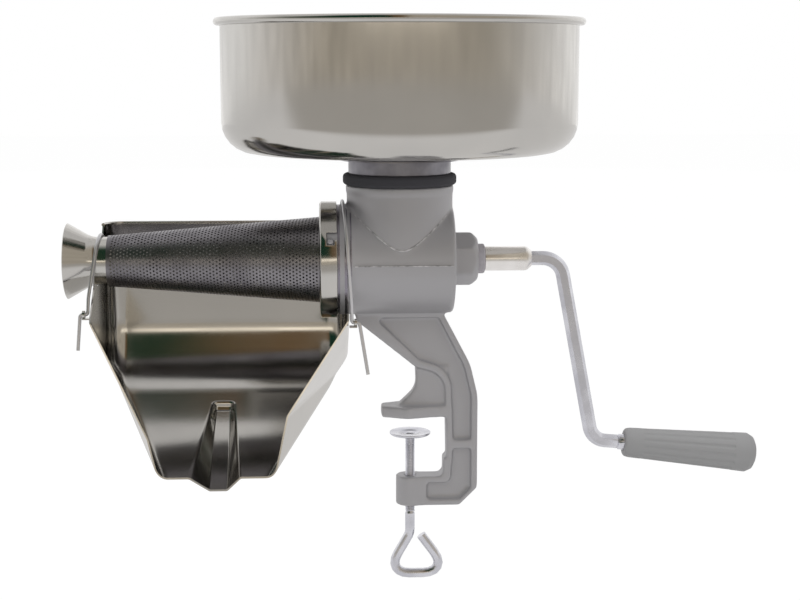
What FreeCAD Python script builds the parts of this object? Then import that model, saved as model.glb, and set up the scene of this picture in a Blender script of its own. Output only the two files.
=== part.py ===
"""Hand-cranked tomato strainer that clamps to the edge of a table.

The origin is where the clamp screw's axis meets the flat underside of the jaw.
+Z is up, +X runs along the crank's axis towards the handle, and the front of the
object, with the open side of the juice chute, faces -Y. All sizes are millimetres.
"""
import FreeCAD, Part
import math
import os

V = FreeCAD.Vector

# Main lines of the object
crank_height = 98.0          # crank axis above the jaw's underside
neck_x = -6.5                # axis of the casting's neck and of the hopper
fit = 0.3                    # clear gap between curved faces of two bodies
running_fit = 0.05           # radial play of a shaft in its bush
seat_gap = 0.1               # radial play of a piece pressed or welded in place

# Cast body: barrel, neck and flange
barrel_radius = 33.0
barrel_left = -35.2          # where the machined flange begins
barrel_right = 25.8
barrel_end_wall = 7.0
auger_bore_radius = 28.5
flange_radius = 33.6
flange_length = 9.8
spigot_length = 8.0          # part of the flange that the collar covers
groove_width = 1.1
groove_depth = 1.0
neck_radius = 32.2
neck_bore_radius = 29.0
neck_top = 144.0
neck_lip_height = 5.0
neck_lip_proud = 0.5
parting_ridge = 0.5
boss_flats = 28.7            # hexagonal shaft boss, across its flats
boss_length = 15.4
boss_chamfer = 3.2

# Cast body: clamp arm
arm_half_width = 6.8
arm_web_half = 3.0
arm_rim = 4.0
arm_right = 41.7
arm_inner_x = 22.4           # throat side of the upright
arm_step_x = 20.4            # throat side of the lower block
arm_step_z = -26.0
arm_lower_top = -38.0
arm_bottom = -56.6
arm_corner_cut = 11.2
arm_rib_z = -17.5
arm_rib = 2.6
gusset_half_width = 4.5
jaw_thickness = 7.0
jaw_nose_x = -18.0
jaw_half_width = 12.5
jaw_nose_half_width = 5.5
screw_boss_radius = 8.8

# Shaft bush, seal and washer at the barrel's closed end
shaft_radius = 5.0
bush_radius = 7.2
bush_flange_radius = 9.1
bush_flange_length = 4.3
seal_radius = 9.0
seal_length = 2.0
washer_radius = 9.5
washer_length = 1.2
spring_wire = 0.8            # half the side of the square wire
spring_radius = 7.3
spring_turns = 2
steps_per_turn = 20          # sections of a wound shape in each of its turns
spring_length = 8.4

# Hopper
bowl_radius = 107.2
bowl_corner = 17.0
bowl_corner_steps = 4
bowl_slope = 3.5             # degrees, rise of the bottom towards the wall
bowl_height = 80.9           # from the underside at its hole up to the rim's middle
bowl_bead = 2.3
sheet = 0.8
hopper_neck_radius = 30.3
hopper_spigot_depth = 20.0
bowl_lift = 9.4              # from the gasket up to the bowl's underside at its hole
hopper_flange_radius = 37.0
gasket_radius = 34.5
gasket_height = 6.8
gasket_round = 1.4           # bevel of its outer edges

# Screen, collar and waste outlet
screen_length = 129.0
screen_big_radius = 26.2
screen_small_radius = 15.4
screen_wall = 0.7
collar_radius = 35.6
collar_wall = 1.3
collar_bevel = 1.3
collar_cover = 8.0           # how far the collar reaches over the flange
screen_gasket_length = 1.2
pin_radius = 2.0
pin_proud = 0.6
slot_length = 8.0
outlet_radius = 14.7
outlet_wall = 1.0
outlet_neck_length = 9.0
flare_length = 15.5
flare_radius = 23.0

# Juice chute
chute_left_clear = 1.2       # from the outlet's neck end to the chute's left wall
chute_right_clear = 2.8      # from the barrel's flange line to its right wall
chute_back = 45.0
chute_top = 116.5
chute_sheet = 0.9
chute_round = 12.0
chute_bend = 30.0            # bend between the back wall and the floor
chute_front_y = -37.0
chute_front_z = 66.0         # where the fold of each side meets the front edge
chute_fold_z = 24.0          # where that fold meets the back wall
lip_y = -52.0
lip_z = -25.0
lip_rake = 0.1125            # how far the lip's cut leans forward for each millimetre down
front_corner = 4.0           # chamfer where the front edge meets the side edge
side_top_y = -15.0           # where the side's edge turns upright
side_top_z = 84.0
side_rise_start = 19.0       # where the side's upper edge climbs to the back wall
side_rise_end = 33.0
seat_extra = 0.2             # more room round the flange in the chute's right wall
clear = 60.0                 # reach of a cutting block past what it cuts
lip_left_inset = 45.0        # how far the lip's ends stand in from the side walls
lip_right_inset = 53.0
spout_start_y = 5.0
spout_start_radius = 5.6
spout_start_depth = 4.0
spout_radius = 21.0
spout_depth = 5.6
spout_shift = 1.9            # from the lip's middle towards the barrel
hem_radius = 1.1

# Hooks that hold the chute up, and their ears
wire = 1.05                  # radius of the hook wire
ear_outer = 2.4
ear_length = 1.8
ear_gap = 2.9                # room for the hook's leg between the wall and the ear
left_pivot_y = -30.0
left_pivot_z = 70.0
right_pivot_y = -31.0
right_pivot_z = 64.0
left_tail = 21.0
left_tail_lean = 1.5
right_tail = 31.0
right_tail_lean = 5.0
left_hook_inset = 4.4        # from the screen's small end to the claw
right_hook_inset = 3.4       # from the collar's right edge to the claw
hook_rise = 10.0             # straight part of the leg beside the wall
hook_tip = 7.0
hook_bend = 1.25             # bend of the wire at its axle
hook_set = 8.0               # bend where the leg leaves the wall's line
tail_clear = 0.2             # between the tail and the ear's end
tail_forward = 2.5           # how far the tail's end hangs in front of its axle

# Auger
auger_pitch = 40.0
auger_clearance = 1.0
flight_thickness = 3.0
auger_core_radius = 8.5
auger_tip_radius = 9.5
auger_end_gap = 4.0
tang_flats = 7.0
tang_length = 14.0

# Crank
sleeve_radius = 7.5
sleeve_length = 29.0
sleeve_chamfer = 3.0
crank_bar = 7.6              # across the flats of the hexagonal bar
crank_knee_x = 89.0
crank_foot_x = 116.0
crank_knee_bend = 13.0
crank_foot_bend = 11.0
grip_start_x = 134.5
grip_start_z = -19.0
grip_tilt = 5.6              # degrees, the grip's outer end hangs lower
grip_length = 84.0
grip_inner_radius = 9.3
grip_outer_radius = 12.3
grip_flutes = 14
flute_radius = 1.5
flute_length = 58.0
flute_start = 11.0
spindle_radius = 3.0
ferrule_radius = 4.9
ferrule_length = 4.0
retainer_radius = 5.4
retainer_length = 1.6

# Clamp screw and pad
screw_radius = 3.0
screw_clearance = 0.08
pad_top = -10.5
pad_radius = 12.7
pad_thickness = 1.6
pad_recess_radius = 6.3
pad_recess_depth = 0.8
rivet_radius = 2.1
rivet_head_radius = 3.0
rivet_head_height = 0.5
eye_start = -70.0            # where the plain wire of the eye begins
eye_top = -76.0
eye_bottom = -102.3
eye_left = -15.0
eye_right = 25.0
eye_bend = 8.5

# Lines that follow from the sizes above
collar_right = barrel_left - flange_length
spigot_end = collar_right - spigot_length
collar_inner_face = spigot_end - screen_gasket_length
collar_left = collar_inner_face - collar_wall
screen_end = collar_inner_face - screen_length
outlet_neck_end = screen_end - outlet_neck_length
outlet_end = outlet_neck_end - flare_length
boss_right = barrel_right + boss_length
bush_right = boss_right + bush_flange_length
sleeve_right = bush_right + sleeve_length
gasket_top = neck_top + gasket_height
hopper_bottom_z = gasket_top + bowl_lift
bowl_rim_z = hopper_bottom_z + bowl_height
bore_right = barrel_right - barrel_end_wall
chute_left = outlet_neck_end + chute_left_clear
chute_right = barrel_left - chute_right_clear
lip_left = chute_left + lip_left_inset
lip_right = chute_right - lip_right_inset
auger_right = bore_right - seal_length - washer_length - spring_length
spigot_radius = neck_bore_radius - fit


def centre(x):
    """Point on the crank's axis."""
    return V(x, 0, crank_height)


def rod(x0, x1, radius):
    """Cylinder on the crank's axis from x0 to x1."""
    return Part.makeCylinder(radius, abs(x1 - x0), centre(min(x0, x1)), V(1, 0, 0))


def upright(x, y, z0, z1, radius):
    """Vertical cylinder from z0 up to z1."""
    return Part.makeCylinder(radius, z1 - z0, V(x, y, z0), V(0, 0, 1))


def unit(vector):
    """Copy of a vector with length one."""
    copy = V(vector)
    copy.normalize()
    return copy


def corner(before, point, after, radius):
    """Start, middle and end of the arc that rounds one corner of a path."""
    to_before = unit(before - point)
    to_after = unit(after - point)
    half = to_before.getAngle(to_after) / 2
    reach = radius / math.tan(half)
    bisector = unit(to_before + to_after)
    middle = point + bisector * (radius / math.sin(half) - radius)
    return point + to_before * reach, middle, point + to_after * reach


def path(points, closed=False):
    """Wire of straight runs and arcs. Each point is a vector and its corner radius."""
    count = len(points)
    edges = []
    first = None
    last = None
    for i, (point, radius) in enumerate(points):
        inner = closed or 0 < i < count - 1
        if radius and inner:
            start, middle, end = corner(points[i - 1][0], point, points[(i + 1) % count][0], radius)
        else:
            start = middle = end = point
        if last is not None and last.distanceToPoint(start) > 1e-6:
            edges.append(Part.makeLine(last, start))
        if start is not end:
            edges.append(Part.Arc(start, middle, end).toShape())
        if first is None:
            first = start
        last = end
    if closed:
        edges.append(Part.makeLine(last, first))
    return Part.Wire(edges)


def side_plate(points, y0, y1):
    """Plate cut to an outline in X and Z, from y0 to y1. Points are x, z, corner radius."""
    outline = path([(V(x, y0, z), r) for x, z, r in points], closed=True)
    return Part.Face(outline).extrude(V(0, y1 - y0, 0))


def end_plate(points, x0, x1):
    """Plate cut to an outline in Y and Z, from x0 to x1. Points are y, z, corner radius."""
    outline = path([(V(x0, y, z), r) for y, z, r in points], closed=True)
    return Part.Face(outline).extrude(V(x1 - x0, 0, 0))


def flat_plate(points, z0, z1):
    """Plate cut to an outline in X and Y, from z0 to z1. Points are x, y, corner radius."""
    outline = path([(V(x, y, z0), r) for x, y, r in points], closed=True)
    return Part.Face(outline).extrude(V(0, 0, z1 - z0))


def shifted(points, distance):
    """Open outline moved sideways by a distance, to the left of its direction."""
    normals = []
    for (a0, b0, _), (a1, b1, _) in zip(points, points[1:]):
        length = math.hypot(a1 - a0, b1 - b0)
        normals.append((-(b1 - b0) / length, (a1 - a0) / length))
    moved = []
    for i, (a, b, radius) in enumerate(points):
        na, nb = normals[max(i - 1, 0)]
        ma, mb = normals[min(i, len(normals) - 1)]
        share = distance / (1 + na * ma + nb * mb)
        turn = na * mb - nb * ma
        new_radius = radius - math.copysign(distance, turn) if radius else 0
        moved.append((a + (na + ma) * share, b + (nb + mb) * share, max(new_radius, 0)))
    return moved


def band(points, thickness):
    """Closed outline of a sheet: one face on the points, the other to their left."""
    return points + shifted(points, thickness)[::-1]


def turned(points, axis_x=None):
    """Solid turned from a closed outline.

    Points are x, radius, corner radius about the crank's axis. With axis_x they are
    radius, z, corner radius about the upright axis at that x.
    """
    if axis_x is None:
        outline = path([(V(x, 0, crank_height + r), c) for x, r, c in points], closed=True)
        return Part.Face(outline).revolve(centre(0), V(1, 0, 0), 360)
    outline = path([(V(axis_x + r, 0, z), c) for r, z, c in points], closed=True)
    return Part.Face(outline).revolve(V(axis_x, 0, 0), V(0, 0, 1), 360)


def section_face(middle, direction, radius, sides):
    """Flat regular polygon across a direction, with the area of a round wire's section."""
    turn = FreeCAD.Rotation(V(0, 1, 0), direction)
    reach = radius * math.sqrt(2 * math.pi / sides / math.sin(2 * math.pi / sides))
    corners = []
    for i in range(sides + 1):
        angle = 2 * math.pi * (i + 0.5) / sides
        corners.append(middle + turn.multVec(V(reach * math.cos(angle), 0, reach * math.sin(angle))))
    return Part.Face(Part.makePolygon(corners))


def swept(points, radius, sides):
    """Many-sided bar of one radius along a path of points with corner radii."""
    spine = path(points)
    direction = unit(points[1][0] - points[0][0])
    section = section_face(points[0][0], direction, radius, sides)
    return spine.makePipeShell([section.OuterWire], True, False)


def prism(sides, flats, start, direction, length, phase=0.0):
    """Regular prism across its flats along a direction."""
    reach = flats / 2 / math.cos(math.pi / sides)
    corners = []
    for i in range(sides + 1):
        turn = 2 * math.pi * (i + 0.5) / sides + math.radians(phase)
        corners.append(V(reach * math.cos(turn), reach * math.sin(turn), 0))
    solid = Part.Face(Part.makePolygon(corners)).extrude(V(0, 0, length))
    solid.rotate(V(0, 0, 0), V(0, 1, 0), 90)
    tilt = FreeCAD.Rotation(V(1, 0, 0), direction)
    solid.Placement = FreeCAD.Placement(start, tilt).multiply(solid.Placement)
    return solid


# Cast body
def arm_outline():
    """Outline of the clamp arm from the barrel down to the screw boss, without the jaw."""
    return [
        (barrel_left + 1.5, crank_height - 20, 0),
        (barrel_left + 1.5, 62.0, 3.0),
        (-30.4, 58.4, 0),
        (3.0, 31.6, 5.0),
        (arm_inner_x - 1.0, 27.0, 14.0),
        (arm_inner_x, arm_step_z, 0),
        (arm_step_x, arm_step_z, 0),
        (arm_step_x, arm_lower_top, 4.0),
        (0.0, arm_lower_top, 0),
        (0.0, arm_bottom, 0),
        (arm_right - arm_corner_cut, arm_bottom, 3.0),
        (arm_right, arm_bottom + arm_corner_cut, 3.0),
        (arm_right, 13.0, 30.0),
        (37.0, 32.7, 30.0),
        (20.8, 63.4, 3.0),
        (20.8, crank_height - 20, 0),
    ]


def arm_panels():
    """The two sunk panels of the arm: a long upper one and the lower elbow."""
    left = arm_inner_x + arm_rim
    right = arm_right - arm_rim
    upper = [
        (-22.0, 62.5, 2.0),
        (5.0, 36.2, 6.0),
        (left - 1.6, 30.0, 17.0),
        (left, arm_rib_z + arm_rib, 1.5),
        (right, arm_rib_z + arm_rib, 1.5),
        (right, 13.0, 26.0),
        (33.3, 31.6, 26.0),
        (17.2, 62.5, 2.0),
    ]
    lower = [
        (left, arm_rib_z - arm_rib, 1.5),
        (left - 1.6, arm_lower_top - 4.0, 4.0),
        (screw_boss_radius + 1.5, arm_lower_top - 4.0, 1.5),
        (screw_boss_radius + 1.5, arm_bottom + arm_rim, 1.5),
        (right - arm_corner_cut * 0.62, arm_bottom + arm_rim, 3.0),
        (right, arm_bottom + arm_rim + arm_corner_cut * 0.62, 3.0),
        (right, arm_rib_z - arm_rib, 1.5),
    ]
    return [upper, lower]


def clamp_arm():
    """I-section arm with its jaw, gusset and screw boss."""
    arm = side_plate(arm_outline(), -arm_half_width, arm_half_width)
    for outline in arm_panels():
        arm = arm.cut(side_plate(outline, arm_web_half, arm_half_width + 1))
        arm = arm.cut(side_plate(outline, -arm_half_width - 1, -arm_web_half))
    gusset = side_plate(
        [
            (3.0, 31.6, 0),
            (3.6, 18.0, 12.0),
            (-9.0, jaw_thickness - 1.0, 0),
            (arm_inner_x + 1.0, jaw_thickness - 1.0, 0),
            (arm_inner_x + 1.0, 31.6, 0),
        ],
        -gusset_half_width,
        gusset_half_width,
    )
    root = arm_inner_x + 2.0
    half = jaw_half_width
    jaw = flat_plate(
        [
            (jaw_nose_x, -jaw_nose_half_width, 1.5),
            (-2.0, -half, 3.0),
            (13.0, -arm_half_width - 1.2, 8.0),
            (root, -arm_half_width, 0),
            (root, arm_half_width, 0),
            (13.0, arm_half_width + 1.2, 8.0),
            (-2.0, half, 3.0),
            (jaw_nose_x, jaw_nose_half_width, 1.5),
        ],
        0.0,
        jaw_thickness,
    )
    boss = upright(0, 0, arm_bottom, arm_lower_top, screw_boss_radius)
    cheeks = flat_plate(
        [
            (0.0, -screw_boss_radius, 0),
            (screw_boss_radius, -arm_half_width, 0),
            (screw_boss_radius, arm_half_width, 0),
            (0.0, screw_boss_radius, 0),
        ],
        arm_bottom,
        arm_lower_top,
    )
    return arm.multiFuse([gusset, jaw, boss, cheeks])


def body_casting():
    """Barrel, neck, shaft boss, flange and clamp arm in one casting."""
    barrel = turned(
        [
            (spigot_end, 0, 0),
            (spigot_end, flange_radius - 0.8, 0),
            (spigot_end + 0.8, flange_radius, 0),
            (collar_right, flange_radius, 0),
            (barrel_left - groove_width, flange_radius, 0),
            (barrel_left - groove_width, flange_radius - groove_depth, 0),
            (barrel_left, flange_radius - groove_depth, 0),
            (barrel_left, barrel_radius, 0),
            (barrel_right - 1.2, barrel_radius, 0),
            (barrel_right, barrel_radius - 1.2, 0),
            (barrel_right, 0, 0),
        ]
    )
    neck = turned(
        [
            (0, crank_height, 0),
            (neck_radius, crank_height, 0),
            (neck_radius, neck_top - neck_lip_height, 0),
            (neck_radius + neck_lip_proud, neck_top - neck_lip_height + 1.0, 0),
            (neck_radius + neck_lip_proud, neck_top, 0),
            (0, neck_top, 0),
        ],
        neck_x,
    )
    boss = prism(6, boss_flats, centre(barrel_right - 1), V(1, 0, 0), boss_length + 1, 30)
    boss_turning = turned(
        [
            (barrel_right - 2, 0, 0),
            (barrel_right - 2, boss_flats, 0),
            (boss_right - boss_chamfer, boss_flats / 2 + 1.2, 0),
            (boss_right, boss_flats / 2 - boss_chamfer * 0.55, 0),
            (boss_right, 0, 0),
        ]
    )
    boss = boss.common(boss_turning)
    ridge_size = parting_ridge * 1.2
    ridge = Part.makeBox(
        barrel_right - barrel_left - 1.5,
        2 * (barrel_radius + parting_ridge),
        ridge_size,
        V(barrel_left + 0.5, -barrel_radius - parting_ridge, crank_height - ridge_size / 2),
    )
    casting = barrel.multiFuse([neck, boss, ridge, clamp_arm()])
    casting = casting.cut(rod(spigot_end - 1, bore_right, auger_bore_radius))
    casting = casting.cut(upright(neck_x, 0, crank_height, neck_top + 1, neck_bore_radius))
    casting = casting.cut(rod(bore_right - 1, boss_right + 1, bush_radius + seat_gap))
    casting = casting.cut(upright(0, 0, arm_bottom - 1, arm_lower_top + 1, screw_radius + screw_clearance))
    for pin_centre, pin_direction in pin_places():
        casting = casting.fuse(Part.makeCylinder(pin_radius, pin_reach(), pin_centre, pin_direction))
    return casting.removeSplitter()


def pin_reach():
    """How far a bayonet pin runs out from its root in the flange."""
    return collar_radius + pin_proud - (auger_bore_radius + 2.0)


def pin_places():
    """Root and direction of the two bayonet pins on the flange."""
    x = collar_right - collar_cover / 2
    places = []
    for turn in (25.0, 205.0):
        out = V(0, -math.cos(math.radians(turn)), math.sin(math.radians(turn)))
        places.append((centre(x) + out * (auger_bore_radius + 2.0), out))
    return places


def shaft_bush():
    """Flanged bush pressed into the shaft boss."""
    return turned(
        [
            (bore_right, shaft_radius + running_fit, 0),
            (bore_right, bush_radius, 0),
            (boss_right, bush_radius, 0),
            (boss_right, bush_flange_radius, 0),
            (bush_right - 0.6, bush_flange_radius, 0),
            (bush_right, bush_flange_radius - 0.6, 0),
            (bush_right, shaft_radius + running_fit, 0),
        ]
    )


def shaft_seal():
    """Rubber ring between the closed end of the barrel and the thrust washer."""
    left = bore_right - seal_length
    return turned(
        [
            (left, shaft_radius + seat_gap, 0),
            (left, seal_radius, 0),
            (bore_right, seal_radius, 0),
            (bore_right, shaft_radius + seat_gap, 0),
        ]
    )


def hopper_gasket():
    """Black rubber ring on top of the casting's neck."""
    return turned(
        [
            (neck_bore_radius, neck_top, 0),
            (gasket_radius - gasket_round, neck_top, 0),
            (gasket_radius, neck_top + gasket_round, 0),
            (gasket_radius, gasket_top - gasket_round, 0),
            (gasket_radius - gasket_round, gasket_top, 0),
            (neck_bore_radius, gasket_top, 0),
        ],
        neck_x,
    )


def screen_gasket():
    """Flat rubber ring between the flange's end and the collar."""
    return turned(
        [
            (collar_inner_face, auger_bore_radius, 0),
            (collar_inner_face, flange_radius - 2.0, 0),
            (spigot_end, flange_radius - 2.0, 0),
            (spigot_end, auger_bore_radius, 0),
        ]
    )


# Screen
def screen_collar():
    """Pressed collar that carries the screen and locks over the flange's pins."""
    shell = [
        (collar_left, screen_big_radius + seat_gap, 0),
        (collar_left, collar_radius - collar_bevel, 0),
        (collar_left + collar_bevel, collar_radius, 0),
        (collar_right, collar_radius, 0),
    ]
    collar = turned(band(shell, -collar_wall))
    pin_x = collar_right - collar_cover / 2
    width = 2 * (pin_radius + fit)
    for _, out in pin_places():
        angle = math.degrees(math.atan2(-out.y, out.z))
        entry = Part.makeBox(
            collar_right - pin_x + 1, width, collar_wall * 4,
            V(pin_x, -width / 2, crank_height + collar_radius - collar_wall * 2),
        )
        foot = Part.makeBox(
            width, slot_length, collar_wall * 4,
            V(pin_x - width / 2, -width / 2, crank_height + collar_radius - collar_wall * 2),
        )
        slot = foot.fuse(entry.translated(V(0, slot_length - width, 0)))
        slot.rotate(centre(0), V(1, 0, 0), angle)
        collar = collar.cut(slot)
    return collar


def cone_screen():
    """Tapered screen between the collar and the waste outlet."""
    wall = [
        (screen_end, screen_small_radius, 0),
        (collar_inner_face, screen_big_radius, 0),
    ]
    return turned(band(wall, -screen_wall))


def waste_outlet():
    """Short neck and flare at the small end of the screen."""
    wall = [
        (outlet_end, flare_radius, 0),
        (outlet_end + flare_length * 0.2, flare_radius - 2.6, 0),
        (outlet_neck_end - 1.5, outlet_radius + 0.8, 0),
        (outlet_neck_end + 1.5, outlet_radius, 0),
        (screen_end + 1.5, outlet_radius, 0),
    ]
    return turned(band(wall, -outlet_wall))


# Hopper
def bowl_bottom(radius):
    """Height of the bowl's underside at a distance from its axis."""
    inner = hopper_neck_radius - sheet
    return hopper_bottom_z + (radius - inner) * math.tan(math.radians(bowl_slope))


def hopper_bowl():
    """Deep round bowl with a rolled rim and a hole over the neck."""
    inner = hopper_neck_radius - sheet
    bottom = bowl_bottom(bowl_radius)
    wall = [(inner, bowl_bottom(inner), 0)]
    for i in range(bowl_corner_steps + 1):
        turn = math.pi / 2 * i / bowl_corner_steps
        radius = bowl_radius - bowl_corner * (1 - math.sin(turn))
        wall.append((radius, bottom + bowl_corner * (1 - math.cos(turn)), 0))
    wall.append((bowl_radius, bowl_rim_z, 0))
    bowl = turned(band(wall, sheet), neck_x)
    sides = 6
    roll = []
    for i in range(sides):
        turn = 2 * math.pi * (i + 0.5) / sides
        radius = bowl_radius + bowl_bead - sheet + bowl_bead * math.cos(turn)
        roll.append((radius, bowl_rim_z + bowl_bead * math.sin(turn), 0))
    return bowl.fuse(turned(roll, neck_x))


def hopper_neck():
    """Neck below the bowl: a flange under it, a tube and a spigot for the casting."""
    wall = [
        (spigot_radius, gasket_top - hopper_spigot_depth, 0),
        (spigot_radius, gasket_top, 0),
        (hopper_neck_radius, gasket_top, 0),
        (hopper_neck_radius, bowl_bottom(hopper_neck_radius) - sheet - seat_gap, 0),
        (hopper_flange_radius, bowl_bottom(hopper_flange_radius) - sheet - seat_gap, 0),
    ]
    return turned(band(wall, sheet), neck_x)


# Juice chute
def chute_core(inset):
    """Sharp-edged solid inside the chute's faces, all of them moved in by the inset."""
    back = chute_back - inset
    slope = math.atan2(chute_fold_z - lip_z, chute_back - lip_y)
    drop = inset / math.cos(slope)
    rise = math.tan(slope)
    floor_back = chute_fold_z + drop - inset * rise
    front = lip_y - 40.0
    profile = [
        (back, chute_top + 40.0, 0),
        (back, floor_back, chute_bend - inset),
        (front, floor_back - (back - front) * rise, 0),
        (front, chute_top + 40.0, 0),
    ]
    core = end_plate(profile, chute_left + inset, chute_right - inset)
    for side_x, lip_x in ((chute_left, lip_left), (chute_right, lip_right)):
        a = V(side_x, chute_front_y, chute_front_z)
        b = V(side_x, chute_back, chute_fold_z)
        c = V(lip_x, lip_y, lip_z)
        out = unit((b - a).cross(c - a))
        if out.x * (side_x - lip_x) < 0:
            out = out * -1
        block = Part.makeBox(400, 400, 400, V(-200, -200, 0))
        turn = FreeCAD.Rotation(V(0, 0, 1), out)
        block.Placement = FreeCAD.Placement(a - out * inset, turn)
        core = core.cut(block)
    return core


def spout_space(inset):
    """Round-ended channel that widens and sinks towards the lip, moved in by the inset."""
    x = (lip_left + lip_right) / 2 + spout_shift
    floor = unit(V(0, lip_y - chute_back, lip_z - chute_fold_z))
    up = V(0, floor.z, -floor.y)
    lip = V(x, lip_y, lip_z)
    run = (lip_y - spout_start_y) / floor.y
    start = lip - floor * run + up * (spout_start_radius - spout_start_depth)
    end = lip + up * (spout_radius - spout_depth)
    axis = end - start
    extra = 1.3
    growth = (spout_radius - spout_start_radius) * extra
    channel = Part.makeCone(
        spout_start_radius - inset, spout_start_radius + growth - inset,
        axis.Length * extra, start, axis,
    )
    return channel.fuse(Part.makeSphere(spout_start_radius - inset, start))


def chute_space(inset):
    """Chute's space with rounded edges and its spout, moved in by the inset."""
    core = chute_core(chute_round)
    body = core.makeOffsetShape(chute_round - inset, 0.01, join=0)
    return body.fuse(spout_space(inset))


def chute_hem():
    """Rolled edge along the top of the back wall and round its two corners."""
    half = chute_sheet / 2
    side_end = chute_back - chute_round
    bend = chute_round - half
    return swept(
        [
            (V(chute_left + half, side_end, chute_top), 0),
            (V(chute_left + half, chute_back - half, chute_top), bend),
            (V(chute_right - half, chute_back - half, chute_top), bend),
            (V(chute_right - half, side_end, chute_top), 0),
        ],
        hem_radius,
        6,
    )


def juice_chute():
    """Pressed scoop under the screen, open at the top and front, with a spout in its lip."""
    scoop = chute_space(0).cut(chute_space(chute_sheet))
    far_left = chute_left - clear
    far_right = chute_right + clear
    front = end_plate(
        [
            (lip_y - 2 * clear, chute_top + clear, 0),
            (lip_y - 2 * clear, lip_z - 2 * clear, 0),
            (lip_y - lip_rake * 2 * clear, lip_z - 2 * clear, 0),
            (lip_y, lip_z, 0),
            (chute_front_y, chute_front_z, 0),
            (chute_front_y + front_corner, chute_front_z + front_corner, 0),
            (side_top_y, side_top_z, 0),
            (side_top_y, chute_top + clear, 0),
        ],
        far_left,
        far_right,
    )
    top = end_plate(
        [
            (side_top_y - front_corner, crank_height, 0),
            (side_rise_start, crank_height, 0),
            (side_rise_end, chute_top, 0),
            (chute_back + clear, chute_top, 0),
            (chute_back + clear, chute_top + clear, 0),
            (side_top_y - front_corner, chute_top + clear, 0),
        ],
        far_left,
        far_right,
    )
    scoop = scoop.cut(front).cut(top).fuse(chute_hem())
    scoop = scoop.cut(rod(far_left, chute_left + chute_round, outlet_radius + fit))
    middle = (chute_left + chute_right) / 2
    return scoop.cut(rod(middle, far_right, flange_radius + fit + seat_extra))


# Hooks and ears
def ear(wall_x, side, pivot_y, pivot_z):
    """Rolled ear on the outside of an end wall. side is -1 on the left, 1 on the right."""
    near = wall_x + side * ear_gap
    far = near + side * ear_length
    pivot = V(min(near, far), pivot_y, pivot_z)
    knuckle = Part.makeCylinder(ear_outer, ear_length, pivot, V(1, 0, 0))
    strap_length = ear_gap + ear_length
    strap = Part.makeBox(
        strap_length, 2 * ear_outer, chute_sheet,
        V(min(wall_x, far), pivot_y - ear_outer, pivot_z - ear_outer - chute_sheet / 2),
    )
    bore = Part.makeCylinder(
        wire + running_fit * 3, ear_length + 2, pivot - V(1, 0, 0), V(1, 0, 0)
    )
    return knuckle.fuse(strap).cut(bore).removeSplitter()


def hook(wall_x, side, pivot_y, pivot_z, tail, lean_out, top_x, seat_radius):
    """Wire hook: a tail, an axle in the ear, a leg and a claw over a round seat."""
    leg_x = wall_x + side * ear_gap / 2
    tail_x = wall_x + side * (ear_gap + ear_length + wire + tail_clear)
    reach = seat_radius + fit + wire
    to_axis = math.hypot(pivot_y, crank_height - pivot_z)
    base = math.atan2(crank_height - pivot_z, -pivot_y)
    lean = base + math.asin(reach / to_axis)
    turn_out = math.pi - lean
    tip_angle = math.radians(20.0)
    # The leg's line touches the seat's circle, and so does the claw's last run
    leg = V(0, math.cos(lean), math.sin(lean))
    claw = V(0, math.cos(tip_angle), -math.sin(tip_angle))
    normal_leg = V(0, -leg.z, leg.y)
    normal_claw = V(0, -claw.z, claw.y)
    axis = V(0, 0, crank_height)
    touch_leg = axis + normal_leg * reach
    touch_claw = axis + normal_claw * reach
    cross = leg.y * claw.z - leg.z * claw.y
    delta = touch_claw - touch_leg
    distance = (delta.y * claw.z - delta.z * claw.y) / cross
    peak = touch_leg + leg * distance
    tip = touch_claw + claw * hook_tip * 0.5
    rise = V(leg_x, pivot_y, pivot_z) + leg * hook_rise
    points = [
        (V(tail_x + side * lean_out, pivot_y - tail_forward, pivot_z - tail), 0),
        (V(tail_x, pivot_y, pivot_z), hook_bend),
        (V(leg_x, pivot_y, pivot_z), hook_bend),
        (rise, hook_set),
        (V(top_x, peak.y, peak.z), reach),
        (V(top_x, tip.y, tip.z), 0),
    ]
    return swept(points, wire, 6)


# Auger, shaft and spring
def flat_face(points):
    """Flat face with its corners at the points."""
    return Part.Face(Part.makePolygon(points + points[:1]))


def wound(x0, x1, pitch, corners):
    """Solid of flat faces wound left-handed about the crank's axis.

    corners takes an x and gives the section's corners there, as lengths along the axis
    and radii.
    """
    count = math.ceil((x1 - x0) / pitch * steps_per_turn)
    rings = []
    for i in range(count + 1):
        x = x0 + (x1 - x0) * i / count
        turn = -2 * math.pi * (x - x0) / pitch
        out = V(0, math.cos(turn), math.sin(turn))
        rings.append([centre(x + along) + out * radius for along, radius in corners(x)])
    faces = [flat_face(rings[0]), flat_face(rings[-1])]
    for near, far in zip(rings, rings[1:]):
        for i in range(len(near)):
            j = (i + 1) % len(near)
            faces.append(flat_face([near[i], near[j], far[j]]))
            faces.append(flat_face([near[i], far[j], far[i]]))
    shell = Part.makeShell(faces)
    shell.sewShape()
    solid = Part.makeSolid(shell)
    if solid.Volume < 0:
        solid.reverse()
    return solid


def flight_corners(x):
    """Section of the auger's flight at an x, clear of the screen or of the bore."""
    taper = (screen_big_radius - screen_small_radius) / screen_length
    tip = screen_small_radius + taper * (x - screen_end) - screen_wall - auger_clearance
    if x > spigot_end + 2.0:
        tip = auger_bore_radius - auger_clearance
    root = auger_core_radius - 1.5
    half = flight_thickness / 2
    return [(-half * 1.3, root), (-half * 0.8, tip), (half * 0.8, tip), (half * 1.3, root)]


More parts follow.
